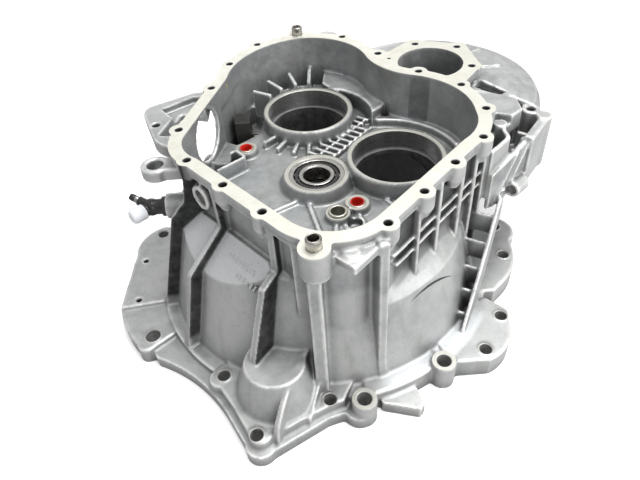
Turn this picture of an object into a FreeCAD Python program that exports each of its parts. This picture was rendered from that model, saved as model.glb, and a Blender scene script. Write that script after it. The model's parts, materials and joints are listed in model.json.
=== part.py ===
import FreeCAD, Part

import math
import os
import re

import Sketcher

# Clutch (bell) housing of a front-wheel-drive manual gearbox, with the parts that stay in it.
# Millimetres. The origin is on the input shaft's axis, in the face that bolts to the engine.
# +Z points from the engine face to the gear case, +X towards the differential.

document = FreeCAD.newDocument("gearbox_clutch_housing")
sheet = document.addObject("Spreadsheet::Sheet", "dims")

DIMENSIONS = [
    ("overall_height", 185, "engine face to gear case face"),
    # bell
    ("bell_foot_radius", 160.5, "outside of the bell at the engine face"),
    ("bell_neck_radius", 137.5, "outside of the bell at the shoulder"),
    ("bell_neck_height", 92, "where the shoulder starts"),
    ("shoulder_radius", 131, "end of the shoulder"),
    ("shoulder_height", 100, "end of the shoulder"),
    ("roof_radius", 103, "outside of the bell roof at the chamber floor"),
    ("bell_wall", 6, "wall of the bell"),
    ("ceiling_radius", 103.6, "flat inside top of the bell"),
    ("ceiling_height", 118, "flat inside top of the bell"),
    # engine flange
    ("engine_flange_radius", 168, "round part of the engine flange"),
    ("engine_flange_thickness", 22, "engine flange and its ears"),
    ("low_flange_thickness", 13, "thin web between the front left ears"),
    ("ear_radius", 12, "round end of a bolt ear"),
    ("ear_reach", 190, "bolt circle of the engine flange"),
    ("engine_bolt_radius", 5.5, "clearance hole for an M10 bolt"),
    ("engine_dowel_radius", 6.4, "reamed hole for an engine dowel"),
    ("dowel_boss_radius", 11, "boss round an engine dowel hole"),
    ("dowel_boss_height", 27.5, "top of that boss"),
    # gear chamber
    ("floor_height", 126, "machined top of the chamber floor"),
    ("skirt_height", 76, "lower edge of the chamber wall outside the bell"),
    ("chamber_wall", 4.5, "wall of the gear chamber"),
    ("case_flange_width", 12, "gear case flange, out from the chamber"),
    ("case_flange_step", 1.3, "step in the edge of the flange"),
    ("case_flange_thickness", 6, "upper part of the flange edge"),
    ("case_flange_depth", 13, "whole flange edge"),
    ("case_boss_radius", 8.8, "boss round a gear case bolt"),
    ("case_boss_depth", 14, "straight part of that boss"),
    ("case_boss_taper", 10, "tapered end of that boss"),
    ("case_boss_tip_radius", 4.5, "small end of the taper"),
    ("case_bolt_radius", 3.4, "tapped hole for an M8 bolt"),
    ("case_bolt_depth", 18, "depth of that hole at every other bolt"),
    ("case_bolt_short_depth", 16, "depth at the bolts between them"),
    ("sleeve_boss_radius", 12, "boss round a locating sleeve"),
    ("sleeve_radius", 6.2, "outside of a locating sleeve"),
    ("sleeve_nose_radius", 6, "the part of a locating sleeve that stands out"),
    ("sleeve_bore", 4.2, "inside of a locating sleeve"),
    ("sleeve_length", 20, "locating sleeve"),
    ("sleeve_stand", 9, "how far a sleeve stands out of the face"),
    ("front_sleeve_x", -6, "front locating sleeve"),
    ("front_sleeve_y", -151, "front locating sleeve"),
    ("rear_sleeve_x", -10, "rear locating sleeve"),
    ("rear_sleeve_y", 202, "rear locating sleeve"),
    # shaft bores
    ("bore_one_x", -4, "output shaft bore"),
    ("bore_one_y", 107, "output shaft bore"),
    ("bore_two_x", 76.6, "second output shaft bore"),
    ("bore_two_y", 11.6, "second output shaft bore"),
    ("shaft_bore_radius", 42.2, "bearing seat"),
    ("shaft_ledge_radius", 40, "opening below the seat"),
    ("shaft_seat_bottom", 122, "foot of the bearing seat"),
    ("shaft_boss_radius", 47.7, "boss round the seat"),
    ("shaft_boss_height", 143, "top of that boss"),
    ("shaft_well_one_bottom", 66, "foot of the cup under the first shaft bore"),
    ("shaft_well_two_bottom", 88, "foot of the cup under the second shaft bore"),
    ("shaft_well_floor", 6, "floor of those cups"),
    # differential side
    ("aux_x", 124, "differential bearing axis"),
    ("aux_y", 110, "differential bearing axis"),
    ("aux_bore_radius", 33, "differential bearing seat"),
    ("aux_tube_radius", 39, "tube round the seat"),
    ("aux_tube_bottom", 92, "foot of the tube"),
    ("aux_seat_bottom", 102, "foot of the seat"),
    ("aux_flange_thickness", 10, "ring face round the seat"),
    ("drive_seal_radius", 24, "outside of the driveshaft seal"),
    ("drive_seal_bore", 15.5, "lip of the driveshaft seal"),
    ("bulge_radius", 115, "dome over the differential gear"),
    ("bulge_top_height", 172, "dome beside the ring face"),
    ("bulge_edge_height", 167, "dome where the rounding starts"),
    ("bulge_side_height", 142, "dome where the rounding ends"),
    ("bulge_bottom", 60, "open foot of the dome"),
    ("bulge_wall", 6, "wall of the dome"),
    # input bearing
    ("input_boss_height", 137, "top of the input bearing boss"),
    ("input_boss_radius", 31, "boss at its top"),
    ("input_boss_foot", 35.4, "boss at the floor"),
    ("race_radius", 26, "outside of the input bearing"),
    ("outer_race_bore", 22, "raceway of the outer ring"),
    ("inner_race_radius", 16.6, "raceway of the inner ring"),
    ("race_bore", 12.5, "bore of the inner ring"),
    ("race_bottom", 121, "foot of the bearing"),
    ("race_width", 15, "width of the bearing"),
    ("race_clearance", 0.05, "running clearance of rollers and balls"),
    ("roller_length", 10, "bearing roller"),
    ("seal_radius", 20, "outside of the input shaft seal"),
    ("seal_bore", 12.7, "lip of the input shaft seal"),
    ("seal_width", 6, "input shaft seal"),
    # clutch release
    ("guide_radius", 15.5, "outside of the guide sleeve"),
    ("guide_bore", 14, "inside of the guide sleeve"),
    ("guide_flange_radius", 22, "flange of the guide sleeve"),
    ("guide_bottom", 56, "free end of the guide sleeve"),
    ("slave_top", 112, "face of the slave cylinder on the casting"),
    ("slave_flange", 6, "slave cylinder flange"),
    ("slave_flange_radius", 33, "slave cylinder flange"),
    ("slave_barrel_radius", 27, "outside of the slave cylinder"),
    ("slave_barrel_bottom", 70, "open end of the slave cylinder"),
    ("piston_radius", 24, "piston of the slave cylinder"),
    ("piston_top", 92, "pressure side of the piston"),
    ("piston_bottom", 66, "spring seat side of the piston"),
    ("slide_clearance", 0.05, "running clearance of the piston"),
    ("spring_seat_radius", 34, "spring seat of the piston"),
    ("spring_seat_bottom", 60, "lower face of the spring seat"),
    ("slave_bolt_circle", 38, "slave cylinder bolts from the axis"),
    ("slave_bolt_radius", 3, "M6 bolt"),
    ("slave_bolt_head", 5, "half width across the bolt head"),
    ("thrust_hub_radius", 20, "hub that carries the release bearing"),
    ("thrust_inner_radius", 23.4, "raceway of the fixed ring"),
    ("thrust_outer_bore", 27, "raceway of the turning ring"),
    ("thrust_outer_radius", 32, "outside of the turning ring"),
    ("thrust_bottom", 50, "lower face of the fixed ring"),
    ("thrust_height", 9.5, "height of the bearing rings"),
    ("spring_radius", 30.2, "release spring, middle of the wire"),
    ("spring_wire", 1.3, "radius of the spring wire"),
    ("spring_top", 89.5, "seat of the spring on the slave cylinder"),
    # hydraulic line
    ("line_y", -8, "hydraulic line, sideways"),
    ("line_height", 118, "hydraulic line through the wall"),
    ("line_low", 99, "hydraulic line at the slave cylinder"),
    ("line_radius", 3, "outside of the pipe"),
    ("port_boss_radius", 12, "cast boss round the line"),
    ("port_boss_end", -143, "outer face of that boss"),
    ("grommet_radius", 5, "rubber grommet in that boss"),
]

COLUMNS = ("name", "value", "meaning")
for column, heading in zip("ABC", COLUMNS):
    sheet.set(f"{column}1", heading)
for row, (alias, value, meaning) in enumerate(DIMENSIONS, start=2):
    sheet.set(f"A{row}", alias)
    sheet.set(f"B{row}", str(value))
    sheet.set(f"C{row}", meaning)
    sheet.setAlias(f"B{row}", alias)
document.recompute()

ALIAS = re.compile(r"(?<![\w.])(" + "|".join(alias for alias, _, _ in DIMENSIONS) + r")(?!\w)")
UP = (0, 0, 1)
SKIN = 1.0   # how far a cutting tool passes the face that it opens


# ---------------------------------------------------------------- helpers

def linked(size):
    """Return an expression for another object: each alias gets the sheet's name in front."""
    return ALIAS.sub(r"dims.\1", str(size))


def amount(size):
    """Return the number that an expression in sheet aliases stands for."""
    return float(sheet.evalExpression(str(size)))


def bind(item, **sizes):
    """Tie properties of an object to expressions in sheet aliases."""
    for name, size in sizes.items():
        item.setExpression(name, linked(size))


def place(item, x, y, z, direction=UP):
    """Put an object at a point, with its own Z axis along a direction."""
    turn = FreeCAD.Rotation(FreeCAD.Vector(*UP), FreeCAD.Vector(*direction))
    item.Placement = FreeCAD.Placement(FreeCAD.Vector(), turn)
    for axis, size in zip("xyz", (x, y, z)):
        item.setExpression(f".Placement.Base.{axis}", linked(size))


def cylinder(label, x, y, z, radius, height, direction=UP):
    solid = document.addObject("Part::Cylinder", label)
    place(solid, x, y, z, direction)
    bind(solid, Radius=radius, Height=height)
    return solid


def cone(label, x, y, z, low, high, height, direction=UP):
    """A cone whose radius is low at its foot and high at its top."""
    solid = document.addObject("Part::Cone", label)
    place(solid, x, y, z, direction)
    bind(solid, Radius1=low, Radius2=high, Height=height)
    return solid


def ball(label, x, y, z, radius):
    solid = document.addObject("Part::Sphere", label)
    place(solid, x, y, z)
    bind(solid, Radius=radius)
    return solid


def sketch(label, outline):
    """A closed outline: (x, y) runs a line there, (mx, my, x, y) an arc through (mx, my)."""
    drawing = document.addObject("Sketcher::SketchObject", label)
    here = FreeCAD.Vector(*outline[-1][-2:])
    for step in outline:
        there = FreeCAD.Vector(*step[-2:])
        if len(step) == 4:
            drawing.addGeometry(Part.Arc(here, FreeCAD.Vector(*step[:2]), there))
        elif here != there:
            drawing.addGeometry(Part.LineSegment(here, there))
        here = there
    return drawing


def grown(label, drawing, width):
    """The same outline, moved outwards by a width."""
    wider = document.addObject("Part::Offset2D", label)
    wider.Source = drawing
    bind(wider, Value=width)
    return wider


def raised(label, drawing, z, height):
    """An outline pulled up from z by a height."""
    solid = document.addObject("Part::Extrusion", label)
    solid.Base = drawing
    solid.DirMode = "Custom"
    solid.Dir = FreeCAD.Vector(*UP)
    solid.Solid = True
    bind(solid, LengthFwd=height)
    solid.setExpression(".Placement.Base.z", linked(z))
    return solid


def plate(label, outline, z, height):
    return raised(label, sketch(label + "_outline", outline), z, height)


def rib(label, x, y, angle, profile, thickness):
    """An upright web: its profile gives (distance along the angle, height) from the point x, y."""
    drawing = sketch(label + "_profile", profile)
    turn = FreeCAD.Rotation(FreeCAD.Vector(*UP), angle)
    stand = FreeCAD.Rotation(FreeCAD.Vector(1, 0, 0), 90)
    drawing.Placement = FreeCAD.Placement(FreeCAD.Vector(x, y, 0), turn.multiply(stand))
    solid = document.addObject("Part::Extrusion", label)
    solid.Base = drawing
    solid.DirMode = "Normal"
    solid.Symmetric = True
    solid.Solid = True
    bind(solid, LengthFwd=thickness)
    return solid


def wall(label, start, end, thickness, z, height):
    """An upright straight wall between two plan points."""
    run = math.dist(start, end)
    angle = math.degrees(math.atan2(end[1] - start[1], end[0] - start[0]))
    top = f"{z} + {height}"
    profile = [(0, amount(z)), (run, amount(z)), (run, amount(top)), (0, amount(top))]
    return rib(label, start[0], start[1], angle, profile, thickness)


def fuse(label, solids):
    joined = document.addObject("Part::MultiFuse", label)
    joined.Shapes = solids
    return joined


def cut(label, base, tools):
    less = document.addObject("Part::Cut", label)
    less.Base = base
    less.Tool = tools[0] if len(tools) == 1 else fuse(label + "_tools", tools)
    return less


def turned(label, profile, x=0, y=0, z=0, direction=UP):
    """A turned piece: its profile gives (radius, height) at each corner, as expressions."""
    body = document.addObject("PartDesign::Body", label)
    planes = {feature.Role: feature for feature in body.Origin.OriginFeatures}
    drawing = body.newObject("Sketcher::SketchObject", label + "_profile")
    drawing.AttachmentSupport = [(planes["XZ_Plane"], "")]
    drawing.MapMode = "FlatFace"
    corners = [FreeCAD.Vector(amount(r), amount(height), 0) for r, height in profile]
    count = len(corners)
    for index, corner in enumerate(corners):
        drawing.addGeometry(Part.LineSegment(corner, corners[(index + 1) % count]))
    for index in range(count):
        drawing.addConstraint(Sketcher.Constraint("Coincident", index, 2, (index + 1) % count, 1))
    for index, sizes in enumerate(profile):
        fix_corner(drawing, index, "DistanceX", sizes[0], corners[index].x, -2)
        fix_corner(drawing, index, "DistanceY", sizes[1], corners[index].y, -1)
    spin = body.newObject("PartDesign::Revolution", label + "_spin")
    spin.Profile = drawing
    spin.ReferenceAxis = (drawing, ["V_Axis"])
    spin.Angle = 360
    body.Tip = spin
    place(body, x, y, z, direction)
    return body


def fix_corner(drawing, index, kind, size, value, axis):
    """Tie one coordinate of a sketch corner to its expression, or lay it on the axis if it is 0."""
    if abs(value) < 1e-9:
        drawing.addConstraint(Sketcher.Constraint("PointOnObject", index, 1, axis))
        return
    number = drawing.addConstraint(Sketcher.Constraint(kind, -1, 1, index, 1, value))
    drawing.setExpression(f"Constraints[{number}]", linked(size))


def round_about(radius, angle, x=0.0, y=0.0):
    """The plan point at a radius and an angle from a centre."""
    turn = math.radians(angle)
    return (x + radius * math.cos(turn), y + radius * math.sin(turn))


def sector(label, inner, outer, start, end, z, height):
    """Part of a flat ring about the input axis, between two angles."""
    middle = (start + end) / 2
    outline = [
        round_about(inner, start),
        round_about(outer, start),
        round_about(outer, middle) + round_about(outer, end),
        round_about(inner, end),
        round_about(inner, middle) + round_about(inner, start),
    ]
    return plate(label, outline, z, height)


# ---------------------------------------------------------------- outlines and places

CHAMBER_OUTLINE = [
    (-115, 4),
    (-84, 108),
    (-64, 159, -7, 191),
    (33, 179, 60, 140),
    (70, 113, 99, 87),
    (136, 57, 146, 10),
    (142, -12, 126, -33),
    (43, -122),
    (10, -136, -22, -122),
    (-100, -32),
    (-114, -14, -115, 4),
]

CASE_BOLTS = [
    (-55, 183), (-83, 140), (-98, 90), (-121, 16), (-108, -33), (-75, -71), (-43, -108),
    (48, -131), (80, -98), (111, -64), (142, -31), (156, 14), (144, 60), (109, 93),
    (74, 139), (40, 187),
]
RING_BOLTS = [(116, 155), (158, 141), (163, 96)]
RING_DOWEL = (84, 125)

RING_FACE_OUTLINE = [
    (78, 134), (107, 160), (115, 166, 124, 162), (154, 150), (165, 150, 168, 141),
    (172, 100), (172, 92, 167, 88), (150, 66), (109, 85), (84, 108),
]

FRONT_FLANGE_OUTLINE = [
    (-140, -60), (-168, -97), (-164, -105), (-118, -137, -94, -168), (-76, -200),
    (-66, -213, -52, -208), (-5, -182), (9, -178), (22, -186, 37, -171), (20, -140),
]
FRONT_PAD_OUTLINE = [
    (-88, -120), (-104, -131), (-109, -141, -99, -150), (-86, -170), (-72, -196),
    (-64, -206, -53, -201), (-29, -188), (-3, -176), (9, -172), (20, -150), (-20, -140),
]
LEFT_PAD_OUTLINE = [
    (-150, 60), (-165, 74), (-181, 76), (-200, 60, -205, 31), (-208, -47), (-161, -41), (-150, -30),
]
CORNER_PAD_OUTLINE = [
    (-161, -41), (-208, -47), (-199, -70, -184, -91), (-178, -99, -168, -97), (-146, -78), (-140, -50),
]
RIGHT_PAD_OUTLINE = [
    (100, -120), (108, -141), (143, -141), (158, -131, 171, -101), (174, -85), (157, -68), (120, -80),
]
RIGHT_EAR_OUTLINE = [
    (150, -60), (168, -60), (182, -47), (199, -20, 203, 10), (208, 40, 190, 50), (150, 60),
]
LOW_FIN_OUTLINE = [(40, -165), (42, -171), (74, -180), (79, -173), (73, -155)]

BACK_EARS = [48, 72, 98, 122, 148]
FRONT_LEFT_HOLES = [(-96, -138), (-65, -198), (-3, -170)]
CORNER_HOLE = (-170, -82)
LEFT_HOLE = (-180, 62)
PIN_HOLES = [(-193, 20), (-191, -37)]
RIGHT_HOLES = [(141, -129), (165, -92), (190, -11), (192, 33)]
ENGINE_DOWELS = [(26, -174), (100, -142)]

LEFT_LUG_OUTLINE = [
    (-106, 50), (-104, 116), (-122, 116), (-164, 93), (-168, 86, -167, 76),
    (-153, 38), (-140, 19, -119, 13), (-112, 12),
]
LEFT_LUG_POCKET_OUTLINE = [(-151, 86), (-122, 106), (-110, 106), (-109, 72), (-138, 68)]
STAMP_PLATE_OUTLINE = [(1, -145), (21, -166), (42, -144), (36, -126), (6, -126)]
REAR_LUMP_OUTLINE = [(-4, 190), (4, 212), (22, 216), (44, 205), (48, 185), (20, 175)]

DOME_LIMIT_OUTLINE = [(90, 92), (142, 78), (250, 44), (250, -20), (90, -20)]
BRACKET_DECK_OUTLINE = [
    (138, 40), (160, 74), (180, 68), (190, 61), (199, 55), (198, 34), (186, 24), (172, 30), (148, 20),
]
BRACKET_LEDGE_OUTLINE = [(150, 16), (172, 30), (186, 26), (190, 28), (178, 18), (166, 8), (150, 4)]
BRACKET_FLOOR_OUTLINE = [
    (140, -20), (156, -26), (200, 10), (222, 36), (214, 58), (190, 64), (160, 74), (138, 40),
]
BRACKET_GAP_OUTLINE = [(163, 79), (172, 93), (193, 70), (184, 64)]

WELL_OUTLINE = [(-80, 76), (-93, 84), (-84, 108), (-76, 140, -66, 152), (-52, 138), (-56, 96)]

SHELF_OUTLINE = [
    (18, 190), (26, 181), (54, 156, 75, 101), (62, 89), (52, 124, 23, 146), (14, 160),
]
ARC_WEB_OUTLINE = [(62, 92), (69, 97), (120, 80, 147, 36), (138, 32), (112, 74, 69, 89)]


# ---------------------------------------------------------------- cast housing, outside

def differential_dome():
    """The dome over the differential gear, hollow and open at its foot."""
    outside = turned("dome_outside", [
        (0, "bulge_bottom"),
        ("bulge_radius", "bulge_bottom"),
        ("bulge_radius", "bulge_side_height"),
        ("bulge_radius - 2", "bulge_side_height + 10"),
        ("bulge_radius - 7", "bulge_side_height + 18"),
        ("bulge_radius - 26", "bulge_edge_height"),
        ("aux_tube_radius", "bulge_top_height"),
        (0, "bulge_top_height"),
    ], "aux_x", "aux_y")
    inside = turned("dome_inside", [
        (0, "bulge_bottom - 1"),
        ("bulge_radius - bulge_wall", "bulge_bottom - 1"),
        ("bulge_radius - bulge_wall", "bulge_side_height + 4"),
        ("bulge_radius - 8 - bulge_wall", "bulge_side_height + 14"),
        ("bulge_radius - 28 - bulge_wall", "bulge_edge_height - bulge_wall"),
        (0, "bulge_top_height - bulge_wall - 1"),
    ], "aux_x", "aux_y")
    return cut("dome", outside, [inside, plate("dome_limit", DOME_LIMIT_OUTLINE, 50, 140)])


def bell_outside():
    return turned("bell_outside", [
        (0, 0),
        ("bell_foot_radius", 0),
        ("bell_neck_radius", "bell_neck_height"),
        ("shoulder_radius", "shoulder_height"),
        ("roof_radius", "floor_height"),
        (0, "floor_height"),
    ])


def bell_inside():
    return turned("bell_inside", [
        (0, -2),
        ("bell_foot_radius - bell_wall + 0.5", -2),
        ("bell_neck_radius - bell_wall", "bell_neck_height - 1"),
        ("shoulder_radius - 4", "shoulder_height - 4"),
        ("ceiling_radius", "ceiling_height"),
        (0, "ceiling_height"),
    ])


def ear_outline(angle):
    """A bolt ear that narrows from the flange ring to a round end at its hole."""
    centre = round_about(amount("ear_reach"), angle)
    end = amount("ear_radius")
    root = amount("bell_foot_radius")
    return [
        round_about(root, angle - 10),
        round_about(end, angle - 80, *centre),
        round_about(end, angle, *centre) + round_about(end, angle + 80, *centre),
        round_about(root, angle + 10),
    ]


def engine_flange():
    """Flat ring, bolt ears and raised pads that bolt to the engine."""
    full = "engine_flange_thickness"
    pieces = [
        cylinder("flange_ring", 0, 0, 0, "engine_flange_radius", full + " - 2"),
        plate("front_flange", FRONT_FLANGE_OUTLINE, 0, "low_flange_thickness"),
        plate("front_pad", FRONT_PAD_OUTLINE, 0, full + " + 2"),
        plate("left_pad", LEFT_PAD_OUTLINE, 0, full),
        plate("corner_pad", CORNER_PAD_OUTLINE, 0, full + " - 4"),
        plate("right_pad", RIGHT_PAD_OUTLINE, 0, full),
        plate("right_ear", RIGHT_EAR_OUTLINE, 0, full),
        plate("low_fin", LOW_FIN_OUTLINE, 0, "low_flange_thickness"),
        sector("dowel_band", 140, 171, -80, -54, 0, full),
    ]
    for number, angle in enumerate(BACK_EARS):
        pieces.append(plate(f"back_ear_{number}", ear_outline(angle), 0, full))
    for number, (x, y) in enumerate(ENGINE_DOWELS):
        pieces.append(cylinder(f"dowel_boss_{number}", x, y, 0,
                               "dowel_boss_radius", "dowel_boss_height"))
    return pieces


def outer_ribs():
    """Upright webs between the engine flange and the gear case flange."""
    foot = 10
    return [
        rib("rib_left", -106, -36, 185,
            [(-16, foot), (-16, 178), (7, 178), (12, 146), (27, 129), (56, 22), (56, foot)], 7.5),
        rib("rib_front_left", -86, -67, 213,
            [(-16, foot), (-16, 178), (1, 178), (0, 139), (37, 102), (57, 22), (57, foot)], 7.5),
        rib("rib_front", -38, -117, 233,
            [(-14, foot), (-14, 178), (1, 178), (2, 132), (20, 126), (46, 60), (46, foot)], 7.5),
        rib("rib_column", 0, 0, 267,
            [(128, foot), (128, 178), (159, 178), (158, 110), (161, 60), (164, 22), (164, foot)], 11),
        rib("rib_front_right", 0, 0, -73,
            [(125, foot), (125, 178), (153, 178), (153, 42), (156, 22), (156, foot)], 8),
    ]


def back_ribs():
    """Webs that carry the overhanging rear of the chamber, and the ones at its left side."""
    pieces = []
    for number, (angle, reach) in enumerate([(74, 168), (88, 188), (103, 190), (118, 172)]):
        pieces.append(rib(f"back_rib_outer_{number}", 0, 0, angle,
                          [(125, 10), (125, 122), (reach, 122), (reach, 112), (170, 60),
                           (164, 22), (164, 10)], 6))
    for number, angle in enumerate([136, 152, 168]):
        pieces.append(rib(f"left_rib_outer_{number}", 0, 0, angle,
                          [(110, 10), (110, 128), (124, 128), (147, 96), (163, 22), (163, 10)], 6))
    return pieces


def fin_grid():
    """Cooling and stiffening fins on the front right wall of the chamber."""
    pieces = []
    tips = [(77, -104, 70), (98, -81, 70), (122, -55, 66), (138, -37, 60), (149, -26, 56)]
    outward = (0.731, -0.682)
    reach = 1
    for number, (x, y, low) in enumerate(tips):
        start = (x - 30 * outward[0], y - 30 * outward[1])
        end = (x + reach * outward[0], y + reach * outward[1])
        pieces.append(wall(f"fin_{number}", start, end, 3.5, low, 178 - low))
    for number, height in enumerate([142, 129]):
        drop = 3 * number
        start = (50 + drop, -122 + drop)
        end = (147, -17)
        pieces.append(wall(f"fin_row_{number}", start, end, 12, height, 3))
    return pieces


def right_truss():
    """Upright web from the engine flange up to the bracket, tied to the bell by short ribs."""
    corner = (124, -109)
    turn = 61.6
    bottom = 10
    edge = [(0, 24), (59, 72), (75, 92), (102, 117)]
    profile = [(0, bottom)] + edge + [(108, 117), (108, 84), (60, bottom)]
    pieces = [rib("truss_web", *corner, turn, profile, 3.5)]
    for number, top in enumerate([32, 46, 60, 78, 98]):
        start = round_about(16 + 17 * number, turn, *corner)
        end = round_about(20 + 4 * number, turn + 90, *start)
        pieces.append(wall(f"truss_tie_{number}", start, end, 3, top - 22, 22))
    return pieces


def front_shoulder():
    """Shoulder at the front left, between the bell and the gear chamber, with its sloped panel."""
    mound = turned("shoulder_cone", [(0, 80), (140.5, 80), (128.5, 128), (118, 134), (0, 134)])
    side, back = round_about(200, 185), round_about(200, 263)
    zone = plate("shoulder_zone", [(0, 0), side, round_about(230, 224), back], 70, 80)
    shoulder = document.addObject("Part::MultiCommon", "shoulder_block")
    shoulder.Shapes = [mound, zone]
    slope = [(90, 150), (101, 139), (150, 88.2), (170, 88.2), (170, 150)]
    return cut("front_shoulder", shoulder, [rib("panel_cutter", 2, -2.3, 220.9, slope, 126)])


def starter_bulge():
    """Half-moon bulge at the front left, with the curved webs at its side."""
    return [
        cone("bulge_cone", -47, -153, 10, 41, 26, 50),
        rib("curl_web", -23, -150, 243,
            [(-10, 10), (-10, 62), (2, 60), (30, 56, 48, 42), (55, 33, 58, 22), (58, 10)], 5),
        rib("foot_web", -16, -150, 248,
            [(-8, 10), (-8, 56), (0, 50, 12, 36), (36, 22), (36, 10)], 20),
    ]


def case_flange(drawing):
    """Gear chamber wall, gear case flange and the bosses round its bolts."""
    edge = "case_flange_width - case_flange_step"
    top = "overall_height"
    pieces = [
        raised("chamber_outside", grown("chamber_skin", drawing, "chamber_wall"),
               "ceiling_height", "overall_height - ceiling_height"),
        raised("flange_upper", grown("flange_skin", drawing, "case_flange_width"),
               "overall_height - case_flange_thickness", "case_flange_thickness"),
        raised("flange_lower", grown("flange_step_skin", drawing, edge),
               "overall_height - case_flange_depth", "case_flange_depth"),
    ]
    bosses = CASE_BOLTS + RING_BOLTS + [RING_DOWEL]
    for number, (x, y) in enumerate(bosses):
        pieces.append(cylinder(f"case_boss_{number}", x, y, top + " - case_boss_depth",
                               "case_boss_radius", "case_boss_depth"))
        pieces.append(cone(f"case_boss_tip_{number}", x, y,
                           top + " - case_boss_depth - case_boss_taper",
                           "case_boss_tip_radius", "case_boss_radius", "case_boss_taper"))
    for name in ("front", "rear"):
        pieces.append(cylinder(f"{name}_sleeve_boss", f"{name}_sleeve_x", f"{name}_sleeve_y",
                               top + " - 26", "sleeve_boss_radius", 26))
    return pieces


def side_lugs():
    """Lifting ears, lugs, filler boss, line boss and the bracket for the gearbox mounting."""
    filler = (-0.76, -0.65, 0)
    return [
        cylinder("lifting_ear", -144, -6, 152.5, 13.5, 12.5),
        wall("lifting_ear_web", (-144, -6), (-108, -6), 21, 152.5, 12.5),
        plate("left_lug", LEFT_LUG_OUTLINE, 154, 14),
        cylinder("filler_boss", -89, -42.5, 158, 11.5, 15, filler),
        cylinder("port_boss", "port_boss_end", "line_y", "line_height", "port_boss_radius",
                 50, (1, 0, 0)),
        plate("stamp_plate", STAMP_PLATE_OUTLINE, 168, 8),
        cylinder("stamp_pad", 20, -150, 172, 6.5, 5.5),
        plate("rear_lump", REAR_LUMP_OUTLINE, 150, 26),
        cylinder("rear_ear", 24, 214, 150, 13, 26),
    ] + mounting_bracket()


def mounting_bracket():
    """Open box at the right that carries the gearbox mounting, with its walls, deck and bosses."""
    front = [(0, 100), (57, 104), (57, 157), (40, 150), (0, 140)]
    return [
        plate("bracket_deck", BRACKET_DECK_OUTLINE, 150, 19),
        plate("bracket_ledge", BRACKET_LEDGE_OUTLINE, 146, 14),
        plate("bracket_floor", BRACKET_FLOOR_OUTLINE, 112, 8),
        rib("bracket_front", 156, -26, 39.4, front, 5),
        rib("bracket_ridge_high", 156, -26, 39.4, [(50, 154), (53, 154), (26, 104), (22, 104)], 10),
        rib("bracket_ridge_low", 156, -26, 39.4, [(34, 148), (37, 149), (9, 102), (5, 102)], 9),
        wall("bracket_side", (197, 4), (222, 36), 9, 102, 55),
        cylinder("bracket_corner", 222, 37, 104, 7.5, 55),
        wall("bracket_back", (222, 37), (208, 62), 6, 112, 46),
        wall("bracket_back_deck", (208, 62), (190, 61), 6, 112, 48),
        cylinder("bracket_round", 171, 13, 112, 6.5, 57),
        wall("bracket_curl", (173, 12), (174, -6), 4, 112, 54),
        wall("bracket_curl_end", (174, -5), (153, -25), 4, 112, 53),
        cylinder("bracket_hole_boss", 213, 50, 112, 9, 47),
        wall("bracket_stay", (196, 32), (212, 20), 4, 112, 34),
        wall("bracket_stay_back", (198, 50), (213, 50), 5, 112, 42),
        cylinder("bracket_low_boss", 198, 0, 110, 8, 20, (-0.75, -0.66, 0)),
        rib("dome_ridge", 124, 110, 10, [(44, 160), (44, 174), (80, 170), (80, 160)], 3),
        rib("dome_ridge_back", 124, 110, 40, [(44, 160), (44, 174), (86, 169.5), (86, 160)], 3),
    ]


# ---------------------------------------------------------------- cast housing, inside

def chamber_inside():
    """Bosses, ribs and shelves that stand on the chamber floor."""
    low = "ceiling_height"
    floor = "floor_height"
    pieces = [
        cone("input_boss", 0, 0, floor, "input_boss_foot", "input_boss_radius",
             "input_boss_height - floor_height"),
        cylinder("shaft_boss_one", "bore_one_x", "bore_one_y", low, "shaft_boss_radius",
                 "shaft_boss_height - ceiling_height"),
        cylinder("shaft_boss_two", "bore_two_x", "bore_two_y", low, "shaft_boss_radius",
                 "shaft_boss_height - ceiling_height"),
        cylinder("left_bush_boss", -69, 57, low, 11, 15),
        cylinder("right_bush_boss", 34, -42, low, 11, 15),
        cylinder("front_bush_boss", 16, -54, low, 11, 15),
        cylinder("low_ring_boss", 30, -64, low, 10, 9.5),
        plate("shelf", SHELF_OUTLINE, low, 27),
        plate("arc_web", ARC_WEB_OUTLINE, low, 17),
    ]
    centre = (amount("bore_one_x"), amount("bore_one_y"))
    rib_ends = [(-63, 145), (-47, 166), (-23, 181), (1, 188)]
    for number, end in enumerate(rib_ends):
        pieces.append(wall(f"back_rib_{number}", centre, end, 4, low, 32))
    front_angles = [222, 238, 254, 268]
    for number, angle in enumerate(front_angles):
        end = round_about(64, angle, *centre)
        pieces.append(wall(f"front_rib_{number}", centre, end, 4, low, 16 - number))
    box = [(-100, 24), (-78, 42), (-68, 30), (-94, 10)]
    for number in range(3):
        pieces.append(wall(f"box_wall_{number}", box[number], box[number + 1], 2.6, low, 24))
    webs = [((8, -118), (-9, -34)), ((8, -118), (14, -60)), ((44, -110), (34, -48)),
            ((60, -34), (84, -70)), ((-20, -28), (-60, -50))]
    for number, (start, end) in enumerate(webs):
        pieces.append(wall(f"floor_web_{number}", start, end, 4, low, 11))
    return pieces


def ladder():
    """Short slanting ribs on the floor between the two shaft bores, tied by two rails."""
    pieces = []
    along = (0.66, 0.75)
    across = (0.80, -0.60)
    for number in range(10):
        x = -6 + along[0] * 9 * number
        y = 45 + along[1] * 9 * number
        reach = 25 if number < 8 else 15
        end = (x + reach * across[0], y + reach * across[1])
        pieces.append(wall(f"ladder_rib_{number}", (x, y), end, 3, "ceiling_height", 14))
    pieces.append(wall("ladder_rail", (14, 30), (62, 85), 3, "ceiling_height", 13))
    pieces.append(wall("ladder_rail_back", (2, 38), (56, 99), 2.6, "ceiling_height", 12.5))
    return pieces


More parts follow.
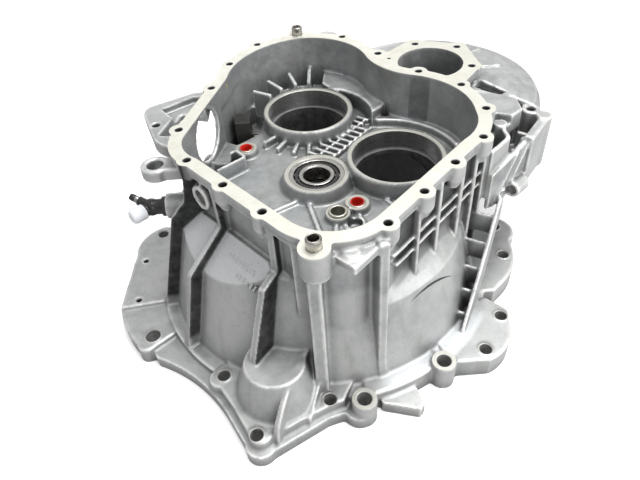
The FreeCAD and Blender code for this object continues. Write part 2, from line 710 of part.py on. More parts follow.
def shaft_bore(name):
    """A bearing seat, the opening under it and the clearance above its boss."""
    x, y = f"bore_{name}_x", f"bore_{name}_y"
    low = f"shaft_well_{name}_bottom + shaft_well_floor"
    seat = "shaft_boss_height - shaft_seat_bottom"
    return [
        cylinder(f"ledge_{name}", x, y, low, "shaft_ledge_radius", f"shaft_boss_height - ({low})"),
        cylinder(f"seat_{name}", x, y, "shaft_seat_bottom", "shaft_bore_radius", seat),
        cylinder(f"clearance_{name}", x, y, "shaft_boss_height", "shaft_boss_radius - 1.5", 20),
    ]


def openings():
    """Bores, bolt holes, pockets and the selector window, all cut at the end."""
    top = "overall_height"
    tools = shaft_bore("one") + shaft_bore("two") + [
        cylinder("bearing_seat", 0, 0, "race_bottom", "race_radius", 40),
        cylinder("seal_seat", 0, 0, 100, "seal_radius", 40),
        cylinder("left_bush_bore", -69, 57, 121, 7.5, 20),
        cylinder("right_bush_bore", 34, -42, 121, 7.5, 20),
        cylinder("front_bush_bore", 16, -54, 121, 8.5, 20),
        cylinder("low_ring_bore", 30, -64, 121, 6.5, 20),
        cylinder("drive_seal_seat", "aux_x", "aux_y", 80, "drive_seal_radius", 40),
        cylinder("lifting_ear_hole", -144, -6, 140, 7.5, 40),
        cylinder("rear_ear_hole", 24, 214, 150, 6.5, 40),
        cylinder("filler_hole", -70, -26, 158, 7.5, 60, (-0.76, -0.65, 0)),
        cylinder("selector_window", -82, 42.3, 157, 26, 60, (-0.958, 0.286, 0)),
        plate("left_lug_pocket", LEFT_LUG_POCKET_OUTLINE, 161, 30),
        cylinder("left_lug_hole", -152, 56, 130, 4, 50),
        cylinder("port_hole", "port_boss_end - 1", "line_y", "line_height", "grommet_radius",
                 59, (1, 0, 0)),
        plate("bracket_gap", BRACKET_GAP_OUTLINE, 140, 60),
        cylinder("bracket_hole", 213, 50, 100, 4.5, 80),
        cylinder("bracket_low_hole", 186, -10.6, 110, 4.8, 20, (-0.75, -0.66, 0)),
    ]
    for number, (x, y) in enumerate(CASE_BOLTS + RING_BOLTS):
        depth = "case_bolt_short_depth" if number % 2 else "case_bolt_depth"
        tools.append(cylinder(f"case_hole_{number}", x, y, f"{top} - {depth}",
                              "case_bolt_radius", f"{depth} + 1"))
        tools.append(cone(f"case_drill_tip_{number}", x, y, f"{top} - {depth} - 2",
                          0, "case_bolt_radius", 2))
    tools.append(cylinder("ring_dowel_hole", *RING_DOWEL, top + " - 8", 2.2, 9))
    for name in ("front", "rear"):
        tools.append(cylinder(f"{name}_sleeve_hole", f"{name}_sleeve_x", f"{name}_sleeve_y",
                              top + " - sleeve_length + sleeve_stand", "sleeve_radius", 30))
        tools.append(cylinder(f"{name}_through_hole", f"{name}_sleeve_x", f"{name}_sleeve_y",
                              top + " - 40", "sleeve_bore", 60))
    back_holes = [round_about(amount("ear_reach"), angle) for angle in BACK_EARS]
    holes = FRONT_LEFT_HOLES + RIGHT_HOLES + [LEFT_HOLE] + back_holes
    for number, (x, y) in enumerate(holes):
        tools.append(cylinder(f"engine_hole_{number}", x, y, -1, "engine_bolt_radius", 60))
    tools.append(cylinder("corner_hole", *CORNER_HOLE, -1, "engine_bolt_radius + 1.5", 60))
    for number, (x, y) in enumerate(PIN_HOLES):
        tools.append(cylinder(f"pin_hole_{number}", x, y, -1, 2.8, 60))
    for number, (x, y) in enumerate(ENGINE_DOWELS):
        tools.append(cylinder(f"engine_dowel_{number}", x, y, -1, "engine_dowel_radius", 60))
    for number, (x, y) in enumerate(slave_bolts()):
        tools.append(cylinder(f"slave_thread_{number}", x, y, 100, "slave_bolt_radius", 21.5))
    return tools


def slave_bolts():
    return [round_about(amount("slave_bolt_circle"), angle) for angle in (70, 150, 270)]


def slave_seat():
    """Machined pad under the bell roof that the slave cylinder bolts to."""
    height = "ceiling_height - slave_top + 2"
    pieces = [cylinder("slave_pad", 0, 0, "slave_top", "slave_flange_radius + 1.5", height)]
    for number, (x, y) in enumerate(slave_bolts()):
        pieces.append(cylinder(f"slave_ear_pad_{number}", x, y, "slave_top", 9, height))
    return pieces


def clutch_housing():
    drawing = sketch("chamber_outline", CHAMBER_OUTLINE)
    solids = [bell_outside(), differential_dome()]
    solids += engine_flange() + outer_ribs() + back_ribs() + starter_bulge()
    solids += side_lugs() + fin_grid() + right_truss() + [front_shoulder()]
    solids.append(cylinder("aux_tube", "aux_x", "aux_y", "aux_tube_bottom", "aux_tube_radius",
                           "overall_height - aux_tube_bottom"))
    ring_low = "overall_height - aux_flange_thickness"
    solids.append(cylinder("ring_flange", "aux_x", "aux_y", ring_low, "aux_tube_radius + 2",
                           "aux_flange_thickness"))
    solids.append(plate("ring_face", RING_FACE_OUTLINE, ring_low, "aux_flange_thickness"))
    skirt = "ceiling_height - skirt_height"
    solids.append(cut("chamber_skirt", raised("skirt_outside", grown("skirt_skin", drawing, "chamber_wall"),
                                              "skirt_height", skirt),
                      [raised("skirt_inside", drawing, "skirt_height - 1", skirt + " + 2")]))
    solids.append(sector("front_skin", 118, 137.5, -100, -70, 85, 93))
    for name in ("one", "two"):
        low = f"shaft_well_{name}_bottom"
        solids.append(cylinder(f"shaft_cup_{name}", f"bore_{name}_x", f"bore_{name}_y", low,
                               "shaft_boss_radius", f"floor_height - {low}"))
    outside = fuse("casting_outside", solids)
    hollow = cut("casting_hollow", outside, [
        bell_inside(),
        cone("bulge_hollow", -47, -153, -1, 34, 20, 55),
        cylinder("aux_bore", "aux_x", "aux_y", "aux_seat_bottom", "aux_bore_radius", 100),
    ])
    shelled = fuse("casting_with_case_flange", [hollow] + case_flange(drawing))
    well_drawing = sketch("well_inner", WELL_OUTLINE)
    well = raised("well_outside", grown("well_skin", well_drawing, "chamber_wall"), 98, 24)
    room = cut("casting_with_room", fuse("casting_with_well", [shelled, well]), [
        raised("chamber_room", drawing, "floor_height", "overall_height"),
        raised("well_room", well_drawing, 103, 60),
    ])
    dressed = fuse("casting_dressed", [room] + chamber_inside() + ladder() + slave_seat())
    return cut("clutch_housing", dressed, openings())


# ---------------------------------------------------------------- fitted parts

def ring(label, inner, outer, z, height, x=0, y=0, direction=UP):
    """A plain turned ring; with a direction, z is the third coordinate of its foot."""
    return turned(label, [
        (inner, 0), (outer, 0), (outer, height), (inner, height),
    ], x, y, z, direction)


def locating_sleeve(name):
    return turned(f"{name}_locating_sleeve", [
        ("sleeve_bore", 0),
        ("sleeve_radius", 0),
        ("sleeve_radius", "sleeve_length - sleeve_stand"),
        ("sleeve_nose_radius - 0.3", "sleeve_length - sleeve_stand"),
        ("sleeve_nose_radius - 0.3", "sleeve_length - sleeve_stand + 1"),
        ("sleeve_nose_radius", "sleeve_length - sleeve_stand + 1"),
        ("sleeve_nose_radius", "sleeve_length - 1"),
        ("sleeve_nose_radius - 1", "sleeve_length"),
        ("sleeve_bore", "sleeve_length"),
    ], f"{name}_sleeve_x", f"{name}_sleeve_y", "overall_height - sleeve_length + sleeve_stand")


def input_bearing():
    """Cylindrical roller bearing: two rings, a cage and thirteen rollers."""
    low = "race_bottom"
    high = "race_bottom + race_width"
    outer = turned("input_bearing_outer_race", [
        ("outer_race_bore", 0),
        ("race_radius", 0),
        ("race_radius", "race_width"),
        ("outer_race_bore", "race_width"),
    ], 0, 0, low)
    inner = turned("input_bearing_inner_race", [
        ("race_bore", 0),
        ("inner_race_radius", 0),
        ("inner_race_radius", "race_width"),
        ("race_bore + 1", "race_width"),
        ("race_bore", "race_width - 1"),
    ], 0, 0, low)
    pitch = "(outer_race_bore + inner_race_radius) / 2"
    radius = "(outer_race_bore - inner_race_radius) / 2 - race_clearance"
    foot = "race_bottom + (race_width - roller_length) / 2"
    count = 13
    rollers = []
    gaps = []
    for number in range(count):
        x, y = round_about(amount(pitch), 360 * number / count)
        rollers.append(cylinder(f"roller_{number}", x, y, foot, radius, "roller_length"))
        gaps.append(cylinder(f"roller_gap_{number}", x, y, f"{foot} - 0.2",
                             f"{radius} + 0.15", "roller_length + 0.4"))
    blank = ring("cage_blank", pitch + " - 1.4", pitch + " + 1.4", "race_bottom + 0.8",
                 "race_width - 1.6")
    return [outer, inner, fuse("input_bearing_rollers", rollers),
            cut("input_bearing_cage", blank, gaps)]


def seals():
    """Rubber shaft seals with a steel case and a lip that leans inwards."""
    input_seal = turned("input_shaft_seal", [
        ("seal_bore + 1", 0),
        ("seal_radius", 0),
        ("seal_radius", "seal_width"),
        ("seal_radius - 2", "seal_width"),
        ("seal_radius - 2", 1.5),
        ("seal_bore + 2.2", 1.5),
        ("seal_bore + 1.2", "seal_width - 1"),
        ("seal_bore", "seal_width - 1.5"),
    ], 0, 0, "race_bottom - seal_width - 1")
    drive_seal = turned("driveshaft_oil_seal", [
        ("drive_seal_bore + 1.5", 0),
        ("drive_seal_radius", 0),
        ("drive_seal_radius", 9),
        ("drive_seal_radius - 2.2", 9),
        ("drive_seal_radius - 2.2", 2),
        ("drive_seal_bore + 3", 2),
        ("drive_seal_bore + 1.6", 8.4),
        ("drive_seal_bore", 7.6),
        ("drive_seal_bore", 6.6),
    ], "aux_x", "aux_y", "aux_tube_bottom + 0.5")
    return [input_seal, drive_seal]


def snap_ring():
    """Open spring ring that keeps the seal under the bearing."""
    whole = ring("snap_ring_blank", "seal_radius - 1.8", "seal_radius", "race_bottom - 0.95", 0.9)
    gap = wall("snap_ring_gap", (0, 0), (0, 30), 6, 100, 40)
    return cut("input_bearing_snap_ring", whole, [gap])


def shift_bushes():
    """Steel bushes for the shift rails, two of them with a red plastic liner."""
    pieces = []
    for side, x, y in (("left", -69, 57), ("right", 34, -42)):
        pieces.append(ring(f"shift_rail_bush_{side}", 6.3, 7.5, 121, 12.6, x, y))
        pieces.append(turned(f"shift_rail_liner_{side}", [
            (5.3, 0), (6.3, 0), (6.3, 13), (5.9, 13.4), (5.3, 13),
        ], x, y, 121))
    pieces.append(turned("selector_shaft_bush", [
        (6.4, 0), (8.5, 0), (8.5, 13.4), (7.9, 14), (6.4, 14),
    ], 16, -54, 121))
    return pieces


def magnet():
    """Chip magnet that stands in the oil well, held by a clip and a screw."""
    block = document.addObject("Part::Box", "chip_magnet")
    place(block, -81.5, 92, 103)
    bind(block, Length=15.5, Width=20, Height=38)
    strap = plate("clip_strap", [(-66, 98), (-56, 98), (-55.3, 106), (-66, 106)], 122, 1.6)
    tongue = plate("clip_tongue", [(-66, 98), (-64.4, 98), (-64.4, 106), (-66, 106)], 106, 17)
    clip = fuse("magnet_clip", [strap, tongue])
    return [block, clip]


def release_guide():
    """Thin tube round the input shaft that the release piston slides on."""
    foot = "guide_flange_radius"
    height = "slave_top - guide_bottom"
    return turned("release_guide_sleeve", [
        ("guide_bore", 0),
        ("guide_radius", 0),
        ("guide_radius", height + " - 3"),
        (foot, height + " - 3"),
        (foot, height),
        ("guide_bore", height),
    ], 0, 0, "guide_bottom")


def slave_cylinder():
    """Ring-shaped clutch slave cylinder with three bolt ears and a pipe union."""
    low = "slave_top - slave_flange"
    pieces = [cylinder("slave_flange_disc", 0, 0, low, "slave_flange_radius", "slave_flange"),
              cylinder("slave_barrel", 0, 0, "slave_barrel_bottom", "slave_barrel_radius",
                       "slave_top - slave_barrel_bottom"),
              cylinder("slave_spring_shelf", 0, 0, "spring_top", "spring_seat_radius", 2.5),
              cylinder("slave_union", -24, "line_y", "line_low", 6, 22, (-1, 0, 0))]
    holes = [cylinder("slave_cylinder_bore", 0, 0, "slave_barrel_bottom - 1",
                      "piston_radius + slide_clearance", "slave_top - slave_barrel_bottom - 5"),
             cylinder("slave_guide_bore", 0, 0, 60, "guide_radius", 60),
             cylinder("slave_guide_seat", 0, 0, "slave_top - 3", "guide_flange_radius", 5),
             cylinder("slave_pipe_bore", -36, "line_y", "line_low", "line_radius", 20, (-1, 0, 0)),
             cylinder("slave_feed", -20, "line_y", "line_low", 1.5, 20, (-1, 0, 0))]
    for number, (x, y) in enumerate(slave_bolts()):
        pieces.append(cylinder(f"slave_ear_{number}", x, y, low, 8, "slave_flange"))
        holes.append(cylinder(f"slave_ear_hole_{number}", x, y, 100, "slave_bolt_radius + 0.3", 20))
    return cut("slave_cylinder_body", fuse("slave_casting", pieces), holes)


def slave_bolt_set():
    """Three hexagon bolts under the slave cylinder."""
    low = "slave_top - slave_flange"
    pieces = []
    for number, (x, y) in enumerate(slave_bolts()):
        head = document.addObject("Part::Prism", f"slave_bolt_head_{number}")
        head.Polygon = 6
        place(head, x, y, low + " - 4")
        bind(head, Circumradius="slave_bolt_head * 1.1547", Height=4)
        shank = cylinder(f"slave_bolt_shank_{number}", x, y, low + " - 1", "slave_bolt_radius", 15.5)
        pieces.append(fuse(f"slave_bolt_{number}", [head, shank]))
    return fuse("slave_cylinder_bolts", pieces)


def release_piston():
    """Ring piston with its spring seat and the hub of the release bearing."""
    slide = "guide_radius + slide_clearance"
    return turned("release_piston", [
        (slide, "thrust_bottom"),
        ("thrust_hub_radius", "thrust_bottom"),
        ("thrust_hub_radius", "spring_seat_bottom"),
        ("spring_seat_radius", "spring_seat_bottom"),
        ("spring_seat_radius", "piston_bottom - 3"),
        ("piston_radius", "piston_bottom - 3"),
        ("piston_radius", "piston_top"),
        (slide, "piston_top"),
    ])


def release_bearing():
    """Angular ball bearing that pushes on the clutch fingers."""
    inner = ring("release_bearing_inner_race", "thrust_hub_radius", "thrust_inner_radius",
                 "thrust_bottom", "thrust_height")
    outer = turned("release_bearing_outer_race", [
        ("thrust_outer_bore", 0),
        ("thrust_outer_bore", "thrust_height"),
        ("thrust_outer_radius", "thrust_height"),
        ("thrust_outer_radius", -1),
        ("thrust_outer_radius - 2", -3),
        ("thrust_inner_radius + 1", -3),
        ("thrust_inner_radius + 1", -1),
        ("thrust_outer_bore", -1),
    ], 0, 0, "thrust_bottom")
    pitch = "(thrust_outer_bore + thrust_inner_radius) / 2"
    radius = "(thrust_outer_bore - thrust_inner_radius) / 2 - race_clearance"
    count = 20
    balls = []
    for number in range(count):
        x, y = round_about(amount(pitch), 360 * number / count)
        balls.append(ball(f"release_ball_{number}", x, y, "thrust_bottom + thrust_height / 2", radius))
    return [inner, outer, fuse("release_bearing_balls", balls)]


def release_spring():
    """Wire spring that keeps the release bearing on the clutch fingers, bent from half turns."""
    foot = "piston_bottom - 3 + spring_wire"
    turns = 4
    rise = (amount("spring_top - spring_wire") - amount(foot)) / (2 * turns)
    lean = math.degrees(math.atan2(rise, 2 * amount("spring_radius")))
    pieces = []
    for number in range(2 * turns):
        half = document.addObject("Part::Torus", f"spring_half_{number}")
        side = 180 * (number % 2)
        turn = FreeCAD.Rotation(FreeCAD.Vector(*UP), side)
        tilt = FreeCAD.Rotation(FreeCAD.Vector(0, 1, 0), lean)
        half.Placement = FreeCAD.Placement(FreeCAD.Vector(), turn.multiply(tilt))
        middle = f"{foot} + {rise * (number + 0.5)}"
        half.setExpression(".Placement.Base.z", linked(middle))
        bind(half, Radius1=f"spring_radius / {math.cos(math.radians(lean))}", Radius2="spring_wire",
             Angle3=180)
        pieces.append(half)
    return fuse("release_spring", pieces)


def hydraulic_line():
    """Pipe from the slave cylinder to the wall, with its grommet, elbow, cap and bleed nipple."""
    points = [(-40, "line_low"), (-76, "line_low"), (-97, "line_height"), (-148, "line_height")]
    runs = []
    for number in range(len(points) - 1):
        (x, low), (end_x, high) = points[number], points[number + 1]
        rise = amount(high) - amount(low)
        length = math.hypot(end_x - x, rise)
        runs.append(cylinder(f"pipe_run_{number}", x, "line_y", low, "line_radius", length,
                             (end_x - x, 0, rise)))
        if number:
            runs.append(ball(f"pipe_bend_{number}", x, "line_y", low, "line_radius"))
    pipe = fuse("hydraulic_pipe", runs)
    grommet = ring("wall_grommet", "line_radius", "grommet_radius", "line_height", 18,
                   "port_boss_end", "line_y", (1, 0, 0))
    knee = (-158, amount("line_y"), amount("line_height"))
    port = (-0.75, -0.66, 0)
    bleed = (-18, 8, 7)
    body = fuse("elbow_body", [
        cylinder("elbow_trunk", "port_boss_end", "line_y", "line_height", 7.5, 15, (-1, 0, 0)),
        cylinder("elbow_collar", "port_boss_end", "line_y", "line_height", 9.5, 4, (-1, 0, 0)),
        ball("elbow_knee", *knee, 8.4),
        cylinder("elbow_port", *knee, 6.2, 15, port),
        cylinder("elbow_arm", *knee, 4.6, 14, bleed),
    ])
    elbow = cut("hydraulic_elbow", body, [
        cylinder("elbow_pipe_bore", "port_boss_end + 1", "line_y", "line_height", "line_radius",
                 7, (-1, 0, 0)),
        cylinder("elbow_bleed_bore", *knee, 2.2, 40, bleed),
    ])
    cap = turned("dust_cap", [
        (6.2, 8.5), (7.5, 8.5), (7.5, 19), (6.4, 21.5), (4.5, 22.5), (0, 22.5), (0, 15), (6.2, 15),
    ], *knee, port)
    nipple = turned("bleed_nipple", [
        (0, 8), (2.15, 8), (2.15, 14.1), (3.6, 14.1), (3.6, 17.5), (2.2, 17.5), (2.2, 21), (0, 21),
    ], *knee, bleed)
    nipple_cap = turned("bleed_nipple_cap", [
        (2.2, 17.6), (3.3, 17.6), (3.6, 20), (3.1, 23), (0, 24), (0, 21), (2.2, 21),
    ], *knee, bleed)
    return [pipe, grommet, elbow, cap, nipple, nipple_cap]


# ---------------------------------------------------------------- build, check and write

nodes = [clutch_housing(), locating_sleeve("front"), locating_sleeve("rear")]
nodes += input_bearing() + seals() + [snap_ring()] + shift_bushes() + magnet()
nodes += [release_guide(), slave_cylinder(), slave_bolt_set(), release_piston()]
nodes += release_bearing() + [release_spring()] + hydraulic_line()
document.recompute()

for item in document.Objects:
    if "Invalid" in item.State or "Error" in item.State:
        raise RuntimeError(f"{item.Label} did not build: {item.State}")
for node in nodes:
    if node.Shape.isNull() or not node.Shape.isValid():
        raise RuntimeError(f"{node.Label} has no valid shape")

os.makedirs("parts", exist_ok=True)
for node in nodes:
    node.Shape.exportStep(f"parts/{node.Label}.step")
    print(f"{node.Label}: {len(node.Shape.Solids)} solid(s), {node.Shape.Volume / 1000:.1f} cm3")
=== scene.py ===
import json
import math

import bmesh
import bpy
import numpy as np
from mathutils import Matrix, Vector


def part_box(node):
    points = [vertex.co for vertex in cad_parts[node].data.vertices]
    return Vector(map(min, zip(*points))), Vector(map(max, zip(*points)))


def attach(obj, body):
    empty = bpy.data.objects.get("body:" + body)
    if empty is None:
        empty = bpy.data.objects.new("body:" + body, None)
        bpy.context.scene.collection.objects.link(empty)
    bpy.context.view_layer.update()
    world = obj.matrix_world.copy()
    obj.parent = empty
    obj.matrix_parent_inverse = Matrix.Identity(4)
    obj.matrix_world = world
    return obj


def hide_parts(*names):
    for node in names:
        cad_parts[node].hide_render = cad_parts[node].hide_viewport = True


# Clutch housing of a manual gearbox, standing on its engine face. Metres, +Z up.

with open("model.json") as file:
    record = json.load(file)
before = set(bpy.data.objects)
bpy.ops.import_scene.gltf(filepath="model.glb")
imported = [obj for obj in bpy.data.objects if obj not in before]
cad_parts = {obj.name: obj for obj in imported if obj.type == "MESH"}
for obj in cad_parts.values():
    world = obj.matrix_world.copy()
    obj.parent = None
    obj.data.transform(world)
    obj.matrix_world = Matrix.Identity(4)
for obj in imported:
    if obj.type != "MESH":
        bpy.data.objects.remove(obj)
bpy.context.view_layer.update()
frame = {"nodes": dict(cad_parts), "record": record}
NODES = frame["nodes"]
MOUNTS = {mount["name"]: mount for mount in frame["record"]["mounts"]}

MM = 0.001
HOUSING_LOW, HOUSING_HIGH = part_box("clutch_housing")
FACE_Z = HOUSING_HIGH.z            # gear case face
FOOT_Z = HOUSING_LOW.z             # engine face
FACE = FACE_Z / MM                 # the same two in millimetres
FOOT = FOOT_Z / MM
UP = Vector((0, 0, 1))

VOXEL = 1.3 * MM                   # grain of the remeshed casting
SMOOTH_STEPS = 5
STOCK = 3 * MM                     # extra metal under each milled face
CHAMFER = 0.7 * MM                 # at the mouth of each drilled hole
DRILL_TIP = 2 * MM                 # cone at the foot of a tapped hole
CLEAR_ABOVE = 14 * MM              # space that the milling cutter clears above a seat
BOLT_SPOT = 1.2 * MM               # width of the milled ring round an engine bolt hole
DOWEL_SPOT = 4.2 * MM              # width of the milled top of an engine dowel boss
TAPPED = ("case_bolt", "ring_bolt")     # how the names of the tapped holes start
DRILLED = [name for name in MOUNTS
           if name.startswith((*TAPPED, "engine_bolt", "corner_bolt", "engine_dowel"))]

# Machined bores, in millimetres.
OUTPUT_WELLS = {"output_bore_one": 72, "output_bore_two": 94}    # floor of the cup under each bore
CUP_RADIUS = 40
SEAT_FLOOR = 122                   # ledge that an output shaft bearing rests on
OUTPUT_RIM = 143                   # top of the boss round an output bore
BOSS_EDGE = 46.2                   # outer edge of the milled ring on that boss
INPUT_SEAL_SEAT = (20, 113.9)      # radius and floor
INPUT_BEARING_SEAT = (26, 121)
INPUT_RIM = 137
INPUT_RIM_EDGE = 30.4
BUSH_SEATS = {"shift_rail_bush_left": 7.5, "shift_rail_bush_right": 7.5, "selector_shaft_bush": 8.5}
BUSH_RIM = 133
BUSH_RIM_EDGE = 10.6
DIFFERENTIAL_BORE = 33


# ---------------------------------------------------------------- mesh helpers

def new_object(name, mesh):
    item = bpy.data.objects.new(name, mesh)
    bpy.context.scene.collection.objects.link(item)
    return item


def mesh_of(item):
    """A copy of an object's mesh with its modifiers worked in."""
    graph = bpy.context.evaluated_depsgraph_get()
    return bpy.data.meshes.new_from_object(item.evaluated_get(graph))


def settle(item):
    """Work the modifiers into the object's own mesh."""
    mesh = mesh_of(item)
    item.modifiers.clear()
    item.data = mesh


def add_turned(build, profile, place, steps=48):
    """Add a solid of revolution. The profile gives (radius, height) and starts and ends at radius 0,
    or comes back to its start to make a ring."""
    rings = []
    for radius, height in profile:
        if radius < 1e-9:
            rings.append([build.verts.new(place @ Vector((0, 0, height)))])
            continue
        ring = []
        for step in range(steps):
            turn = math.tau * step / steps
            corner = Vector((radius * math.cos(turn), radius * math.sin(turn), height))
            ring.append(build.verts.new(place @ corner))
        rings.append(ring)
    closed = profile[0][0] > 1e-9
    pairs = list(zip(rings, rings[1:] + rings[:1] if closed else rings[1:]))
    for low, high in pairs:
        for step in range(steps):
            after = (step + 1) % steps
            if len(low) == 1:
                build.faces.new((low[0], high[after], high[step]))
            elif len(high) == 1:
                build.faces.new((low[step], low[after], high[0]))
            else:
                build.faces.new((low[step], low[after], high[after], high[step]))


def add_box(build, low, high):
    (low_x, low_y, low_z), (high_x, high_y, high_z) = low, high
    corners = [(x, y, z) for z in (low_z, high_z) for y in (low_y, high_y) for x in (low_x, high_x)]
    verts = [build.verts.new(corner) for corner in corners]
    for face in ((0, 2, 3, 1), (4, 5, 7, 6), (0, 1, 5, 4), (2, 6, 7, 3), (0, 4, 6, 2), (1, 3, 7, 5)):
        build.faces.new([verts[index] for index in face])


def mesh_from(build, name):
    bmesh.ops.recalc_face_normals(build, faces=build.faces)
    mesh = bpy.data.meshes.new(name)
    build.to_mesh(mesh)
    build.free()
    return mesh


# ---------------------------------------------------------------- casting

def mount_place(name):
    mount = MOUNTS[name]
    return Vector(mount["pos_m"]), Vector(mount["axis"]), mount["dims"]


def spot_radius(name, radius):
    """Outer radius of the milled ring round a through hole of the engine flange."""
    return radius + (DOWEL_SPOT if name.startswith("engine_dowel") else BOLT_SPOT)


def is_tapped(name):
    """Tapped holes go down from the gear case face; the other holes go up from the engine face."""
    return name.startswith(TAPPED)


def hole_cutters(build):
    """Every drilled hole of the casting, with a small chamfer at its mouth."""
    for name in DRILLED:
        where, _, dims = mount_place(name)
        radius = dims["r_mm"] * MM
        depth = dims["length_mm"] * MM
        wide = radius + CHAMFER
        if is_tapped(name):
            top = FACE_Z
            low = top - depth
            tip = low - DRILL_TIP
            mouth = [(wide + STOCK, top + STOCK), (0, top + STOCK)]
        else:
            top = FOOT_Z + depth
            low = FOOT_Z - STOCK
            tip = low
            spot = spot_radius(name, radius)
            mouth = [(wide, top), (spot, top), (spot, top + CLEAR_ABOVE), (0, top + CLEAR_ABOVE)]
        profile = [(0, tip), (radius, low), (radius, top - CHAMFER)]
        add_turned(build, profile + mouth, Matrix.Translation((where.x, where.y, 0)), 40)


def bore_profiles():
    """Machined bores: where each one is, its cutting profile and the radius and top of its stock."""
    bores = []
    for name, well in OUTPUT_WELLS.items():
        where, _, dims = mount_place(name)
        seat = dims["r_mm"]
        clear = OUTPUT_RIM + 20
        profile = [(0, well), (CUP_RADIUS, well), (CUP_RADIUS, SEAT_FLOOR), (seat, SEAT_FLOOR),
                   (seat, OUTPUT_RIM - 0.7), (seat + 0.7, OUTPUT_RIM),
                   (BOSS_EDGE, OUTPUT_RIM), (BOSS_EDGE, clear), (0, clear)]
        bores.append((where.x, where.y, profile, BOSS_EDGE - 0.2, OUTPUT_RIM + 2.5))
    (seal, seal_floor), (bearing, bearing_floor) = INPUT_SEAL_SEAT, INPUT_BEARING_SEAT
    clear = INPUT_RIM + 13
    profile = [(0, seal_floor), (seal, seal_floor), (seal, bearing_floor), (bearing, bearing_floor),
               (bearing, INPUT_RIM - 0.6), (bearing + 0.6, INPUT_RIM),
               (INPUT_RIM_EDGE, INPUT_RIM), (INPUT_RIM_EDGE, clear), (0, clear)]
    bores.append((0, 0, profile, INPUT_RIM_EDGE - 0.2, INPUT_RIM + 2))
    for node, seat in BUSH_SEATS.items():
        low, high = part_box(node)
        middle = (low + high) / 2
        foot = low.z / MM
        clear = BUSH_RIM + 8
        profile = [(0, foot), (seat, foot), (seat, BUSH_RIM - 0.4), (seat + 0.4, BUSH_RIM),
                   (BUSH_RIM_EDGE, BUSH_RIM), (BUSH_RIM_EDGE, clear), (0, clear)]
        bores.append((middle.x, middle.y, profile, BUSH_RIM_EDGE - 0.2, BUSH_RIM + 1.5))
    return bores


def hole_plugs(build):
    """Solid fillings, so that the remeshed casting has metal where a hole is cut crisply later."""
    for name in DRILLED:
        where, _, dims = mount_place(name)
        radius = dims["r_mm"] * MM
        depth = dims["length_mm"] * MM
        if is_tapped(name):
            radius += 0.6 * MM
            low = FACE_Z - depth - 3 * MM
            top = FACE_Z + STOCK
        else:
            radius = spot_radius(name, radius) - 0.4 * MM
            low = FOOT_Z - STOCK
            top = FOOT_Z + depth + 1.2 * MM
        profile = [(0, low), (radius, low), (radius, top), (0, top)]
        add_turned(build, profile, Matrix.Translation((where.x, where.y, 0)), 32)
    for x, y, cutter, radius, top in bore_profiles():
        low = cutter[2][1] - 4
        profile = [(0, low), (radius, low), (radius, top), (0, top)]
        scaled = [(width * MM, height * MM) for width, height in profile]
        add_turned(build, scaled, Matrix.Translation((x, y, 0)), 64)


def raw_casting():
    """The CAD casting with extra stock under its milled faces and its holes filled, remeshed."""
    mesh = NODES["clutch_housing"].data.copy()
    build = bmesh.new()
    build.from_mesh(mesh)
    bmesh.ops.remove_doubles(build, verts=build.verts, dist=1e-6)
    for vertex in build.verts:
        if vertex.co.z > FACE_Z - 1e-5:
            vertex.co.z += STOCK
        elif vertex.co.z < FOOT_Z + 1e-5:
            vertex.co.z -= STOCK
    hole_plugs(build)
    build.to_mesh(mesh)
    build.free()
    casting = new_object("clutch_housing_casting", mesh)
    casting.data.materials.clear()
    remesh = casting.modifiers.new("remesh", "REMESH")
    remesh.mode = "VOXEL"
    remesh.voxel_size = VOXEL
    remesh.adaptivity = 0
    smooth = casting.modifiers.new("smooth", "SMOOTH")
    smooth.factor = 0.5
    smooth.iterations = SMOOTH_STEPS
    settle(casting)
    return casting


def cut_faces(casting):
    """Mill the two flat faces, then drill the holes."""
    build = bmesh.new()
    far = 1.0
    add_box(build, (-far, -far, FACE_Z), (far, far, FACE_Z + 0.1))
    add_box(build, (-far, -far, FOOT_Z - 0.1), (far, far, FOOT_Z))
    slabs = new_object("slabs", mesh_from(build, "slabs"))
    build = bmesh.new()
    hole_cutters(build)
    drills = new_object("drills", mesh_from(build, "drills"))
    build = bmesh.new()
    for x, y, profile, _, _ in bore_profiles():
        scaled = [(radius * MM, height * MM) for radius, height in profile]
        add_turned(build, scaled, Matrix.Translation((x, y, 0)), 128)
    bores = new_object("bores", mesh_from(build, "bores"))
    for tool in (slabs, drills, bores):
        boolean = casting.modifiers.new("cut", "BOOLEAN")
        boolean.operation = "DIFFERENCE"
        boolean.solver = "MANIFOLD"
        boolean.object = tool
        settle(casting)
        bpy.data.objects.remove(tool)


# ---------------------------------------------------------------- masks on the casting
# Lengths in this section are in millimetres.

# Upright webs at the front left whose side towards the front gets painted shade, near black:
# base point and outward angle in plan, as in the casting.
SHADED_RIBS = [(-106, -36, 185), (-86, -67, 213), (-38, -117, 233)]
FIN_LINE = ((77, -104), (155, -19))     # outer edge of the fin grid in plan
CHAMBER_MIDDLE = (15, 25)               # in plan
CHAMBER_REACH = 190                     # the chamber's mask ends at this distance
PANEL_TURN = math.radians(220.9)    # direction in plan that the sloped panel faces
PANEL_FOOT = Vector((2, -2.3, 0))   # point in plan that its slope is measured from, mm
PANEL_HIGH = (101, 139)             # distance from that point and height of its upper edge, mm
PANEL_LOW = (150, 88.2)             # the same for its lower edge


def soft_step(values, low, high):
    """0 up to low and 1 from high on, with a ramp between them; low may be the larger one."""
    return np.clip((values - low) / (high - low), 0, 1)


def read_vectors(items, field):
    """A vector of each vertex or face of a mesh, one row each."""
    values = np.empty(len(items) * 3, dtype=np.float32)
    items.foreach_get(field, values)
    return values.reshape(-1, 3)


def reach_from(place, x, y):
    """Distance in plan from a place given in metres."""
    return np.hypot(x - place.x / MM, y - place.y / MM)


